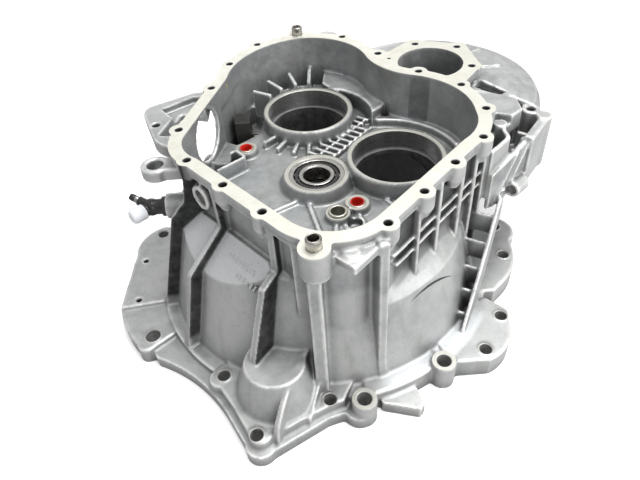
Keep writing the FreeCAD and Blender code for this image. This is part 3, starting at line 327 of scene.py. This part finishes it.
def shaded_ribs(x, y, z, normal):
    """Painted shade on the side towards the front of the upright webs at the front left."""
    mask = np.zeros(len(x))
    for base_x, base_y, angle in SHADED_RIBS:
        turn = math.radians(angle)
        out_x, out_y = math.cos(turn), math.sin(turn)
        along = (x - base_x) * out_x + (y - base_y) * out_y
        off = (y - base_y) * out_x - (x - base_x) * out_y
        facing = normal[:, 1] * out_x - normal[:, 0] * out_y
        near = soft_step(np.abs(off), 7.0, 4.2) * soft_step(facing, 0.25, 0.7)
        stretch = soft_step(z, 24, 34) * soft_step(along, -9, -4) * soft_step(along, 66, 56)
        mask = np.maximum(mask, near * stretch)
    return mask


def shaded_recess(x, y, z):
    """Painted shade on the chamber's wall behind the fin grid."""
    (start_x, start_y), (end_x, end_y) = FIN_LINE
    run = math.hypot(end_x - start_x, end_y - start_y)
    line_x, line_y = (end_x - start_x) / run, (end_y - start_y) / run
    along = (x - start_x) * line_x + (y - start_y) * line_y
    behind = (x - start_x) * line_y - (y - start_y) * line_x
    mask = soft_step(behind, -2.5, -4.5) * soft_step(behind, -16, -10)
    mask *= soft_step(along, -26, -20) * soft_step(along, run + 14, run + 6)
    mask *= soft_step(z, 96, 116) * soft_step(z, 173, 170)
    return 0.8 * mask


def shaded_bores(x, y, z):
    """Painted shade in the cups under the two output shaft bores, and on the wall of the differential
    bore.
    """
    mask = np.zeros(len(x))
    below_seat = soft_step(z, SEAT_FLOOR + 1, SEAT_FLOOR + 0.5)
    for name in OUTPUT_WELLS:
        where, _, _ = mount_place(name)
        cup = soft_step(reach_from(where, x, y), CUP_RADIUS + 1.4, CUP_RADIUS + 0.6)
        mask = np.maximum(mask, cup * below_seat)
    low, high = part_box("driveshaft_oil_seal")
    reach = reach_from((low + high) / 2, x, y)
    wall = soft_step(reach, DIFFERENTIAL_BORE + 1, DIFFERENTIAL_BORE + 0.5)
    return np.maximum(mask, 0.55 * wall * soft_step(z, FACE - 0.5, FACE - 4))


def shaded_holes(x, y, z, normal):
    """Painted shade on the walls of the drilled holes."""
    mask = np.zeros(len(x))
    upright = soft_step(np.abs(normal[:, 2]), 0.6, 0.4)
    for name in DRILLED:
        where, _, dims = mount_place(name)
        radius, depth = dims["r_mm"], dims["length_mm"]
        if is_tapped(name):
            level = soft_step(z, FACE - depth - 6, FACE - depth - 3)
        else:
            level = soft_step(z, FOOT + depth + 2, FOOT + depth + 1)
        wall = soft_step(reach_from(where, x, y), radius + 0.5, radius + 0.2)
        mask = np.maximum(mask, wall * upright * level)
    return 0.85 * mask


def shaded_bell(x, y, z, normal):
    """Painted shade on the inside of the bell."""
    facing_in = soft_step(normal[:, 0] * x + normal[:, 1] * y + 60 * normal[:, 2], 5, -5)
    return 0.55 * facing_in * soft_step(np.hypot(x, y), 152, 148) * soft_step(z, 121, 117)


def chamber_inside(x, y, z, normal):
    """The walls and the floor of the gear chamber."""
    aside_x, aside_y = x - CHAMBER_MIDDLE[0], y - CHAMBER_MIDDLE[1]
    facing_in = soft_step(-(normal[:, 0] * aside_x + normal[:, 1] * aside_y), 0, 20)
    walls = facing_in * (np.hypot(aside_x, aside_y) < CHAMBER_REACH)
    floor = soft_step(z, 150, 142) * (np.hypot(x, y) < CHAMBER_REACH)
    return soft_step(z, 120, 128) * np.maximum(walls, floor)


def painted_highlight(x, y, z, normal):
    """Painted highlight on the sloped panel where it faces up, and on the upward-facing band on the
    engine flange at the front right of the bell.
    """
    out_x, out_y = math.cos(PANEL_TURN), math.sin(PANEL_TURN)
    slope = math.atan2(PANEL_LOW[0] - PANEL_HIGH[0], PANEL_HIGH[1] - PANEL_LOW[1])
    outward = normal[:, 0] * out_x + normal[:, 1] * out_y
    facing = outward * math.cos(slope) + normal[:, 2] * math.sin(slope)
    away = (x - PANEL_FOOT.x) * out_x + (y - PANEL_FOOT.y) * out_y
    panel = soft_step(facing, 0.95, 0.985) * soft_step(away, 100, 103) * soft_step(z, 86, 90)
    turn = np.degrees(np.arctan2(y, x))
    band = soft_step(turn, -76, -70) * soft_step(turn, -28, -34) * soft_step(np.hypot(x, y), 176, 172)
    band *= soft_step(normal[:, 2], 0.6, 0.85) * soft_step(z, 34, 30) * soft_step(z, 8, 12)
    return np.maximum(panel, band)


def paint_masks(mesh):
    """Store on each vertex where the casting gets painted shade or a painted highlight, and where it
    lies inside the chamber.
    """
    x, y, z = (read_vectors(mesh.vertices, "co") / MM).T
    normal = read_vectors(mesh.vertex_normals, "vector")
    # painted shade: near black on the front webs, the recess behind the fins, the bore cups, the holes
    # and the inside of the bell
    painted_shade = np.maximum.reduce([
        shaded_ribs(x, y, z, normal), shaded_recess(x, y, z), shaded_bores(x, y, z),
        shaded_holes(x, y, z, normal), shaded_bell(x, y, z, normal),
    ])
    inside = chamber_inside(x, y, z, normal)
    bright = painted_highlight(x, y, z, normal)
    masks = {"painted_shade": painted_shade, "inside": inside, "bright": bright}
    for name, values in masks.items():
        layer = mesh.attributes.new(name, "FLOAT", "POINT")
        layer.data.foreach_set("value", values.astype(np.float32))


MILLED, BORED, RIM = 1, 2, 3           # material index of each kind of machined face; cast is 0
LEVEL_GAP = 0.06                       # how far from its level a milled face may lie


def milled_faces(mesh):
    """The material index of each face of the casting."""
    x, y, z = (read_vectors(mesh.polygons, "center") / MM).T
    normal = read_vectors(mesh.polygons, "normal")
    kind = np.zeros(len(x), dtype=np.int32)
    flat = np.abs(normal[:, 2]) > 0.995
    upright = np.abs(normal[:, 2]) < 0.1
    kind[flat & (np.abs(z - FACE) < LEVEL_GAP)] = MILLED
    kind[flat & (np.abs(z - FOOT) < LEVEL_GAP)] = MILLED
    for centre_x, centre_y, profile, radius, _ in bore_profiles():
        reach = np.hypot(x - centre_x / MM, y - centre_y / MM)
        rim = profile[-3][1]
        seat, seat_floor = profile[-6][0], profile[-6][1]
        kind[flat & (np.abs(z - rim) < LEVEL_GAP) & (reach < radius + 1)] = RIM
        kind[(np.abs(reach - seat) < 0.3) & upright & (z > seat_floor - 1)] = BORED
        kind[(np.abs(reach - seat) < 1.0) & (np.abs(z - rim) < 0.9) & (normal[:, 2] > 0.3)] = RIM
    for name in DRILLED:
        if is_tapped(name):
            continue
        where, _, dims = mount_place(name)
        top = FOOT + dims["length_mm"]
        spot = spot_radius(name, dims["r_mm"] * MM) / MM
        kind[flat & (np.abs(z - top) < LEVEL_GAP) & (reach_from(where, x, y) < spot)] = RIM
    return kind


# ---------------------------------------------------------------- finished casting

def finish_casting():
    casting = raw_casting()
    cut_faces(casting)
    mesh = casting.data
    mesh.materials.clear()
    paint_masks(mesh)
    for material in (cast_aluminium(), milled_aluminium("milled_aluminium", 0), bored_aluminium(),
                     milled_aluminium("milled_rim", 0.45)):
        mesh.materials.append(material)
    mesh.polygons.foreach_set("material_index", milled_faces(mesh))
    mesh.polygons.foreach_set("use_smooth", [True] * len(mesh.polygons))
    mesh.set_sharp_from_angle(angle=math.radians(40))
    print("casting faces", len(mesh.polygons))
    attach(casting, "housing")
    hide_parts("clutch_housing")
    return casting


BAR_ROWS = [(12, 8, 116), (29, 6, 123)]    # start along the panel, count and distance out, mm
BAR_SIZE = (2.6, 5.2, 0.5)                 # width, length and height of a bar, mm
BAR_PITCH = 4.6                            # from one bar to the next, mm
BAR_SLOPE = 0.4                            # how far each side of a bar leans in, mm


def panel_bars():
    """Two rows of plain raised bars on the sloped panel, where the casting has its part marks."""
    out = Vector((math.cos(PANEL_TURN), math.sin(PANEL_TURN), 0))
    along = Vector((-math.sin(PANEL_TURN), math.cos(PANEL_TURN), 0))
    fall = (PANEL_LOW[1] - PANEL_HIGH[1]) / (PANEL_LOW[0] - PANEL_HIGH[0])
    down = (out + UP * fall).normalized()
    proud = along.cross(down).normalized()
    if proud.z < 0:
        proud = -proud
    wide, tall, height = BAR_SIZE
    build = bmesh.new()
    for start, count, distance in BAR_ROWS:
        level = PANEL_HIGH[1] + fall * (distance - PANEL_HIGH[0])
        row = PANEL_FOOT + out * distance + UP * level
        for number in range(count):
            length = tall * (1.0 if number % 3 else 0.72)
            centre = row + along * (start + BAR_PITCH * number)
            corners = []
            for lift in (-1.0, height):
                for side, end in ((-1, -1), (1, -1), (1, 1), (-1, 1)):
                    inset = BAR_SLOPE if lift > 0 else 0.0
                    corner = centre + along * side * (wide / 2 - inset)
                    corner += down * end * (length / 2 - inset) + proud * lift
                    corners.append(build.verts.new(corner * MM))
            build.faces.new(corners[:4])
            build.faces.new(corners[4:])
            for index in range(4):
                after = (index + 1) % 4
                build.faces.new((corners[index], corners[after], corners[4 + after], corners[4 + index]))
    bars = new_object("cast_panel_bars", mesh_from(build, "cast_panel_bars"))
    bars.data.materials.append(bpy.data.materials["cast_aluminium"])
    bevel = bars.modifiers.new("bevel", "BEVEL")
    bevel.width = 0.15 * MM
    bevel.segments = 2
    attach(bars, "housing")


# ---------------------------------------------------------------- materials

class Graph:
    """Short names for building a material's node tree."""

    def __init__(self, name):
        self.material = bpy.data.materials.new(name)
        self.material.use_nodes = True
        self.tree = self.material.node_tree
        self.shader = self.tree.nodes["Principled BSDF"]
        self.place = self.add("ShaderNodeTexCoord").outputs["Object"]

    def add(self, kind, **settings):
        item = self.tree.nodes.new(kind)
        for name, value in settings.items():
            setattr(item, name, value)
        return item

    def join(self, value, socket):
        """Feed a socket from another node, or give it a fixed value."""
        if isinstance(value, bpy.types.NodeSocket):
            self.tree.links.new(value, socket)
        elif socket.type == "RGBA" and len(value) == 3:
            socket.default_value = (*value, 1)
        else:
            socket.default_value = value

    def noise(self, scale, detail=4.0, rough=0.55, place=None):
        item = self.add("ShaderNodeTexNoise")
        self.join(place or self.place, item.inputs["Vector"])
        item.inputs["Scale"].default_value = scale
        item.inputs["Detail"].default_value = detail
        item.inputs["Roughness"].default_value = rough
        return item.outputs["Fac"]

    def stretch(self, x, y, z):
        """Object coordinates scaled along each axis, for drawn-out marks."""
        item = self.add("ShaderNodeMapping")
        self.join(self.place, item.inputs["Vector"])
        item.inputs["Scale"].default_value = (x, y, z)
        return item.outputs["Vector"]

    def spread(self, value, low, high, out_low=0.0, out_high=1.0):
        """Map a range of values to another one, with the ends held."""
        item = self.add("ShaderNodeMapRange")
        self.join(value, item.inputs["Value"])
        limits = {"From Min": low, "From Max": high, "To Min": out_low, "To Max": out_high}
        for name, number in limits.items():
            item.inputs[name].default_value = number
        return item.outputs["Result"]

    def maths(self, operation, first, second=0.0):
        item = self.add("ShaderNodeMath", operation=operation)
        self.join(first, item.inputs[0])
        self.join(second, item.inputs[1])
        return item.outputs[0]

    def blend(self, amount, first, second, mode="MIX"):
        item = self.add("ShaderNodeMix", data_type="RGBA", blend_type=mode)
        self.join(amount, item.inputs["Factor"])
        self.join(first, item.inputs[6])
        self.join(second, item.inputs[7])
        return item.outputs[2]

    def stored(self, name):
        return self.add("ShaderNodeAttribute", attribute_name=name).outputs["Fac"]

    def edges(self, low=0.51, high=0.58):
        return self.spread(self.add("ShaderNodeNewGeometry").outputs["Pointiness"], low, high)

    def shade(self, distance, low=0.2, high=0.9):
        """0 deep in a corner, 1 in the open."""
        item = self.add("ShaderNodeAmbientOcclusion", samples=6)
        item.inputs["Distance"].default_value = distance
        return self.spread(item.outputs["AO"], low, high)

    def bump(self, *layers):
        """Stack bump layers, each given as (height, strength, distance)."""
        below = None
        for height, strength, distance in layers:
            item = self.add("ShaderNodeBump")
            self.join(height, item.inputs["Height"])
            item.inputs["Strength"].default_value = strength
            item.inputs["Distance"].default_value = distance
            if below is not None:
                self.join(below, item.inputs["Normal"])
            below = item.outputs["Normal"]
        self.join(below, self.shader.inputs["Normal"])

    def finish(self, colour, roughness, metallic):
        self.join(colour, self.shader.inputs["Base Color"])
        self.join(roughness, self.shader.inputs["Roughness"])
        self.join(metallic, self.shader.inputs["Metallic"])
        return self.material


def cast_aluminium():
    """Shot-blasted die casting: mottled, lighter on its edges, with painted shade in corners and
    recesses and a painted highlight on the sloped panel.
    """
    graph = Graph("cast_aluminium")
    broad = graph.noise(16, 3)
    mottle = graph.noise(95, 5, 0.65)
    grain = graph.noise(1500, 2)
    pits = graph.spread(graph.noise(420, 3, 0.6), 0.60, 0.72)
    runs = graph.noise(1, 4, 0.6, graph.stretch(70, 70, 9))
    colour = graph.blend(graph.spread(broad, 0.35, 0.65), (0.33, 0.34, 0.342), (0.44, 0.447, 0.44))
    colour = graph.blend(graph.spread(mottle, 0.35, 0.7, 0.0, 0.5), colour, (0.53, 0.537, 0.53))
    colour = graph.blend(graph.spread(runs, 0.52, 0.75, 0.0, 0.35), colour, (0.19, 0.194, 0.19))
    inside = graph.stored("inside")
    # painted shade inside the gear chamber: a darker bluish grey mixed in by the inside mask
    inside_shade = graph.blend(graph.spread(mottle, 0.3, 0.7), (0.24, 0.255, 0.265), (0.38, 0.392, 0.395))
    colour = graph.blend(graph.maths("MULTIPLY", inside, 0.7), colour, inside_shade)
    stains = graph.maths("MULTIPLY", inside, graph.spread(graph.noise(26, 5, 0.7), 0.5, 0.72, 0.0, 0.5))
    colour = graph.blend(stains, colour, (0.23, 0.225, 0.19))
    # painted highlight: lighter colour on the sloped panel and the flange band
    bright = graph.maths("MULTIPLY", graph.stored("bright"), 0.75)
    colour = graph.blend(bright, colour, (0.70, 0.72, 0.74))
    colour = graph.blend(graph.maths("MULTIPLY", pits, 0.35), colour, (0.13, 0.13, 0.125))
    # painted shade: darker in corners, from ambient occlusion
    shade = graph.shade(16 * MM, 0.12, 0.92)
    corner_shade = graph.maths("SUBTRACT", 1.0, shade)
    colour = graph.blend(graph.maths("MULTIPLY", corner_shade, 0.86), colour, (0.028, 0.029, 0.027))
    worn = graph.maths("MULTIPLY", graph.edges(0.504, 0.545), graph.spread(mottle, 0.2, 0.5))
    colour = graph.blend(graph.maths("MULTIPLY", worn, 0.75), colour, (0.84, 0.84, 0.82))
    # painted shade: near black, rough and not metallic on the masked webs, recesses, bores, holes and
    # inside of the bell
    painted_shade = graph.stored("painted_shade")
    cover = graph.spread(mottle, 0.2, 0.7, 1.0, 0.86)
    colour = graph.blend(graph.maths("MULTIPLY", painted_shade, cover), colour, (0.007, 0.0072, 0.007))
    colour = marker_and_dot(graph, colour)
    roughness = graph.spread(mottle, 0.3, 0.7, 0.40, 0.56)
    roughness = graph.maths("SUBTRACT", roughness, graph.maths("MULTIPLY", inside, 0.06))
    roughness = graph.maths("ADD", roughness, graph.maths("MULTIPLY", painted_shade, 0.3))
    metallic = graph.maths("SUBTRACT", 0.6, graph.maths("MULTIPLY", painted_shade, 0.6))
    sheen = graph.maths("SUBTRACT", 0.5, graph.maths("MULTIPLY", painted_shade, 0.42))
    graph.join(sheen, graph.shader.inputs["Specular IOR Level"])
    graph.bump((broad, 0.25, 1.5 * MM), (mottle, 0.45, 0.5 * MM), (grain, 0.35, 0.08 * MM))
    return graph.finish(colour, roughness, metallic)


STROKE_START = (math.radians(-59), 84 * MM)     # turn about the input axis, height
STROKE_END = (math.radians(-36), 73 * MM)
STROKE_BEND = 8 * MM                            # rise of the stroke's middle above a straight line
PAINT_DOT = (-85 * MM, 106 * MM, 178 * MM)


def marker_and_dot(graph, colour):
    """A pen stroke on the front right of the bell and a dot of paint on the chamber wall."""
    axes = graph.add("ShaderNodeSeparateXYZ")
    graph.join(graph.place, axes.inputs[0])
    turn = graph.maths("ARCTAN2", axes.outputs["Y"], axes.outputs["X"])
    along = graph.spread(turn, STROKE_START[0], STROKE_END[0], -1.0, 1.0)
    line = graph.spread(along, -1, 1, STROKE_START[1], STROKE_END[1])
    bulge = graph.maths("SUBTRACT", 1.0, graph.maths("POWER", along, 2.0))
    line = graph.maths("ADD", line, graph.maths("MULTIPLY", bulge, STROKE_BEND))
    off = graph.maths("ABSOLUTE", graph.maths("SUBTRACT", axes.outputs["Z"], line))
    width = graph.spread(graph.maths("ABSOLUTE", along), 0.3, 1.0, 1.3 * MM, 0.2 * MM)
    ink = graph.maths("GREATER_THAN", width, off)
    ink = graph.maths("MULTIPLY", ink, graph.maths("LESS_THAN", graph.maths("ABSOLUTE", along), 0.99))
    colour = graph.blend(graph.maths("MULTIPLY", ink, 0.9), colour, (0.012, 0.012, 0.013))
    apart = graph.add("ShaderNodeVectorMath", operation="DISTANCE")
    graph.join(graph.place, apart.inputs[0])
    apart.inputs[1].default_value = PAINT_DOT
    paint = graph.spread(apart.outputs["Value"], 1.9 * MM, 1.5 * MM)
    return graph.blend(paint, colour, (0.75, 0.60, 0.05))


def milled_aluminium(name, darker):
    """Bright cutter marks: fine arcs over a pale face, with faint stains."""
    graph = Graph(name)
    marks = graph.add("ShaderNodeTexWave", wave_type="RINGS", rings_direction="Z")
    graph.join(graph.stretch(1, 1, 1), marks.inputs["Vector"])
    marks.inputs["Scale"].default_value = 260
    marks.inputs["Distortion"].default_value = 1.5
    stains = graph.noise(60, 5, 0.65)
    fine = graph.noise(900, 3)
    colour = graph.blend(graph.spread(stains, 0.35, 0.68), (0.84, 0.83, 0.76), (0.68, 0.67, 0.58))
    colour = graph.blend(graph.spread(fine, 0.55, 0.8, 0.0, 0.25), colour, (0.5, 0.5, 0.45))
    colour = graph.blend(0.12, colour, marks.outputs["Color"], "MULTIPLY")
    colour = graph.blend(darker, colour, (0.25, 0.25, 0.24))
    roughness = graph.spread(stains, 0.3, 0.7, 0.30, 0.46)
    graph.bump((marks.outputs["Fac"], 0.12, 0.05 * MM), (fine, 0.15, 0.03 * MM))
    return graph.finish(colour, roughness, 0.55)


def bored_aluminium():
    """Wall of a bored seat: fine turning lines round the axis."""
    graph = Graph("bored_aluminium")
    lines = graph.noise(1, 3, 0.5, graph.stretch(12, 12, 5200))
    streaks = graph.noise(1, 3, 0.6, graph.stretch(90, 90, 12))
    colour = graph.blend(graph.spread(streaks, 0.35, 0.7), (0.80, 0.80, 0.79), (0.56, 0.56, 0.56))
    roughness = graph.spread(lines, 0.3, 0.7, 0.22, 0.36)
    graph.bump((lines, 0.08, 0.02 * MM))
    return graph.finish(colour, roughness, 0.95)


def turned_metal(name, colour, dull, roughness, metallic=1.0, lines=1800, wear=0.5):
    """Machined steel or alloy with turning lines, smears of oil and worn edges."""
    graph = Graph(name)
    rings = graph.noise(1, 2, 0.5, graph.stretch(25, 25, lines))
    smears = graph.noise(140, 4, 0.6)
    specks = graph.spread(graph.noise(900, 2), 0.66, 0.78)
    base = graph.blend(graph.spread(smears, 0.35, 0.7), colour, dull)
    base = graph.blend(graph.maths("MULTIPLY", specks, 0.4), base, tuple(part * 0.3 for part in dull))
    # painted shade: darker in corners, from ambient occlusion
    shade = graph.shade(4 * MM, 0.1, 0.8)
    corner_shade = graph.maths("MULTIPLY", graph.maths("SUBTRACT", 1.0, shade), 0.7)
    base = graph.blend(corner_shade, base, tuple(part * 0.12 for part in dull))
    bright = tuple(min(part * 1.25, 1.0) for part in colour)
    base = graph.blend(graph.maths("MULTIPLY", graph.edges(0.52, 0.62), wear), base, bright)
    finish = graph.spread(smears, 0.3, 0.7, roughness - 0.06, roughness + 0.1)
    graph.bump((rings, 0.25, 0.03 * MM), (smears, 0.1, 0.05 * MM))
    return graph.finish(base, finish, metallic)


def moulded(name, colour, dusty, roughness, grain=0.2):
    """Plastic or rubber with a fine texture, dusty patches, scuffed edges and painted shade in its
    corners.
    """
    graph = Graph(name)
    cloud = graph.noise(160, 4, 0.6)
    texture = graph.noise(2200, 2)
    scuffs = graph.spread(graph.noise(1, 4, 0.7, graph.stretch(420, 90, 420)), 0.60, 0.75)
    base = graph.blend(graph.spread(cloud, 0.4, 0.8, 0.0, 0.5), colour, dusty)
    base = graph.blend(graph.maths("MULTIPLY", scuffs, 0.3), base, dusty)
    base = graph.blend(graph.maths("MULTIPLY", graph.edges(0.52, 0.62), 0.35), base, dusty)
    # painted shade: darker in corners, from ambient occlusion
    shade = graph.maths("SUBTRACT", 1.0, graph.shade(3 * MM, 0.1, 0.8))
    base = graph.blend(graph.maths("MULTIPLY", shade, 0.6), base, tuple(part * 0.2 for part in colour))
    finish = graph.spread(cloud, 0.3, 0.7, roughness - 0.08, roughness + 0.1)
    graph.bump((texture, grain, 0.04 * MM), (cloud, 0.15, 0.1 * MM))
    return graph.finish(base, finish, 0.0)


def slot_materials():
    """One material for each slot of the record that the other nodes use."""
    return {
        "bearing_steel": turned_metal("bearing_steel", (0.62, 0.61, 0.58), (0.40, 0.39, 0.36), 0.24),
        "sleeve_steel": turned_metal("sleeve_steel", (0.50, 0.48, 0.45), (0.26, 0.25, 0.23), 0.26),
        "bush_steel": turned_metal("bush_steel", (0.66, 0.65, 0.58), (0.46, 0.45, 0.38), 0.34),
        "cage_polymer": moulded("cage_polymer", (0.012, 0.012, 0.012), (0.05, 0.05, 0.048), 0.4),
        "liner_red": moulded("liner_red", (0.62, 0.022, 0.012), (0.42, 0.03, 0.02), 0.3, 0.1),
        "seal_rubber": moulded("seal_rubber", (0.02, 0.02, 0.021), (0.07, 0.068, 0.065), 0.55),
        "magnet_black": moulded("magnet_black", (0.012, 0.012, 0.011), (0.045, 0.043, 0.036), 0.4),
        "clip_steel": turned_metal("clip_steel", (0.34, 0.34, 0.33), (0.2, 0.2, 0.19), 0.36),
        "spring_steel": turned_metal("spring_steel", (0.22, 0.22, 0.24), (0.12, 0.12, 0.13), 0.34),
        "slave_aluminium": turned_metal("slave_aluminium", (0.42, 0.43, 0.45), (0.3, 0.31, 0.32),
                                        0.38, 0.9),
        "pipe_steel": turned_metal("pipe_steel", (0.34, 0.36, 0.33), (0.22, 0.23, 0.2), 0.36),
        "elbow_black": moulded("elbow_black", (0.010, 0.010, 0.011), (0.05, 0.05, 0.05), 0.32),
        "cap_white": moulded("cap_white", (0.78, 0.80, 0.83), (0.62, 0.64, 0.66), 0.42),
        "bolt_steel": turned_metal("bolt_steel", (0.06, 0.06, 0.065), (0.03, 0.03, 0.03), 0.42, 0.7),
    }


ROUND_NODES = ("release_bearing_balls", "release_spring", "hydraulic_pipe")


def dress_nodes():
    """Give each remaining CAD node its slot's material and rounded edges."""
    materials = slot_materials()
    slots = {part["node"]: part["material_slot"] for part in frame["record"]["subparts"]}
    for name, item in NODES.items():
        if name == "clutch_housing":
            continue
        item.data.materials.clear()
        item.data.materials.append(materials[slots[name]])
        weld = item.modifiers.new("weld", "WELD")
        weld.merge_threshold = 1e-6
        if name not in ROUND_NODES:
            bevel = item.modifiers.new("bevel", "BEVEL")
            bevel.width = 0.35 * MM
            bevel.segments = 2
            bevel.limit_method = "ANGLE"
            bevel.angle_limit = math.radians(40)
            bevel.use_clamp_overlap = True


# ---------------------------------------------------------------- camera, light and floor

PHOTO_WIDTH = 640
FOCAL_PIXELS = 582
SENSOR = 36.0
CAMERA_PLACE = Vector((-1.5, -442.3, 460.5)) * MM
CAMERA_PITCH = math.radians(42.73)
CAMERA_ROLL = math.radians(-4.28)


def add_camera():
    lens = bpy.data.cameras.new("camera")
    lens.sensor_width = SENSOR
    lens.lens = FOCAL_PIXELS / PHOTO_WIDTH * SENSOR
    lens.clip_start = 0.01
    camera = new_object("camera", lens)
    ahead = Vector((0, math.cos(CAMERA_PITCH), -math.sin(CAMERA_PITCH)))
    right = Vector((1, 0, 0))
    above = right.cross(ahead)
    side = right * math.cos(CAMERA_ROLL) + above * math.sin(CAMERA_ROLL)
    top = -right * math.sin(CAMERA_ROLL) + above * math.cos(CAMERA_ROLL)
    turn = Matrix((side, top, -ahead)).transposed().to_4x4()
    camera.matrix_world = Matrix.Translation(CAMERA_PLACE) @ turn
    bpy.context.scene.camera = camera


def add_area(name, place, size, power, target=(0, 0, 0.09)):
    light = bpy.data.lights.new(name, "AREA")
    light.shape = "RECTANGLE"
    light.size, light.size_y = size
    light.energy = power
    lamp = new_object(name, light)
    ahead = Vector(target) - Vector(place)
    turn = ahead.to_track_quat("-Z", "Y").to_matrix().to_4x4()
    lamp.matrix_world = Matrix.Translation(Vector(place)) @ turn


def add_studio():
    world = bpy.data.worlds.new("studio")
    world.use_nodes = True
    tree = world.node_tree
    ground = tree.nodes["Background"]
    ground.inputs["Strength"].default_value = 1.0
    place = tree.nodes.new("ShaderNodeTexCoord")
    axes = tree.nodes.new("ShaderNodeSeparateXYZ")
    tree.links.new(place.outputs["Generated"], axes.inputs[0])
    height = tree.nodes.new("ShaderNodeMapRange")
    for name, value in (("From Min", -0.1), ("From Max", 0.9), ("To Min", 0.22), ("To Max", 0.92)):
        height.inputs[name].default_value = value
    tree.links.new(axes.outputs["Z"], height.inputs["Value"])
    path = tree.nodes.new("ShaderNodeLightPath")
    backdrop = tree.nodes.new("ShaderNodeMix")
    tree.links.new(path.outputs["Is Camera Ray"], backdrop.inputs["Factor"])
    tree.links.new(height.outputs["Result"], backdrop.inputs["A"])
    backdrop.inputs["B"].default_value = 1.0
    tree.links.new(backdrop.outputs["Result"], ground.inputs["Color"])
    bpy.context.scene.world = world
    add_area("key", (0.3, 0.05, 1.4), (0.8, 0.8), 17)
    add_area("front", (0.75, -1.2, 0.7), (1.1, 0.7), 8.5)
    add_area("right", (1.2, -0.5, 0.45), (0.6, 0.6), 6)
    add_area("back", (-0.2, 1.5, 0.3), (1.0, 0.4), 4)
    build = bmesh.new()
    add_box(build, (-8, -8, -0.02), (8, 8, FOOT_Z))
    floor = new_object("floor", mesh_from(build, "floor"))
    floor.data.materials.append(pale_floor())
    bpy.context.scene.view_settings.view_transform = "Standard"


def pale_floor():
    """A pale floor that looks darker in reflections, as if the part stood on a small sheet."""
    graph = Graph("floor_white")
    path = graph.add("ShaderNodeLightPath")
    cloud = graph.noise(3, 2)
    pale = graph.blend(graph.spread(cloud, 0.3, 0.7), (0.93, 0.93, 0.93), (0.95, 0.95, 0.95))
    colour = graph.blend(path.outputs["Is Camera Ray"], (0.50, 0.50, 0.50), pale)
    graph.shader.inputs["Emission Color"].default_value = (1, 1, 1, 1)
    glow = graph.maths("MULTIPLY", path.outputs["Is Camera Ray"], 0.22)
    graph.join(glow, graph.shader.inputs["Emission Strength"])
    return graph.finish(colour, 0.7, 0.0)


finish_casting()
panel_bars()
dress_nodes()
add_studio()
add_camera()
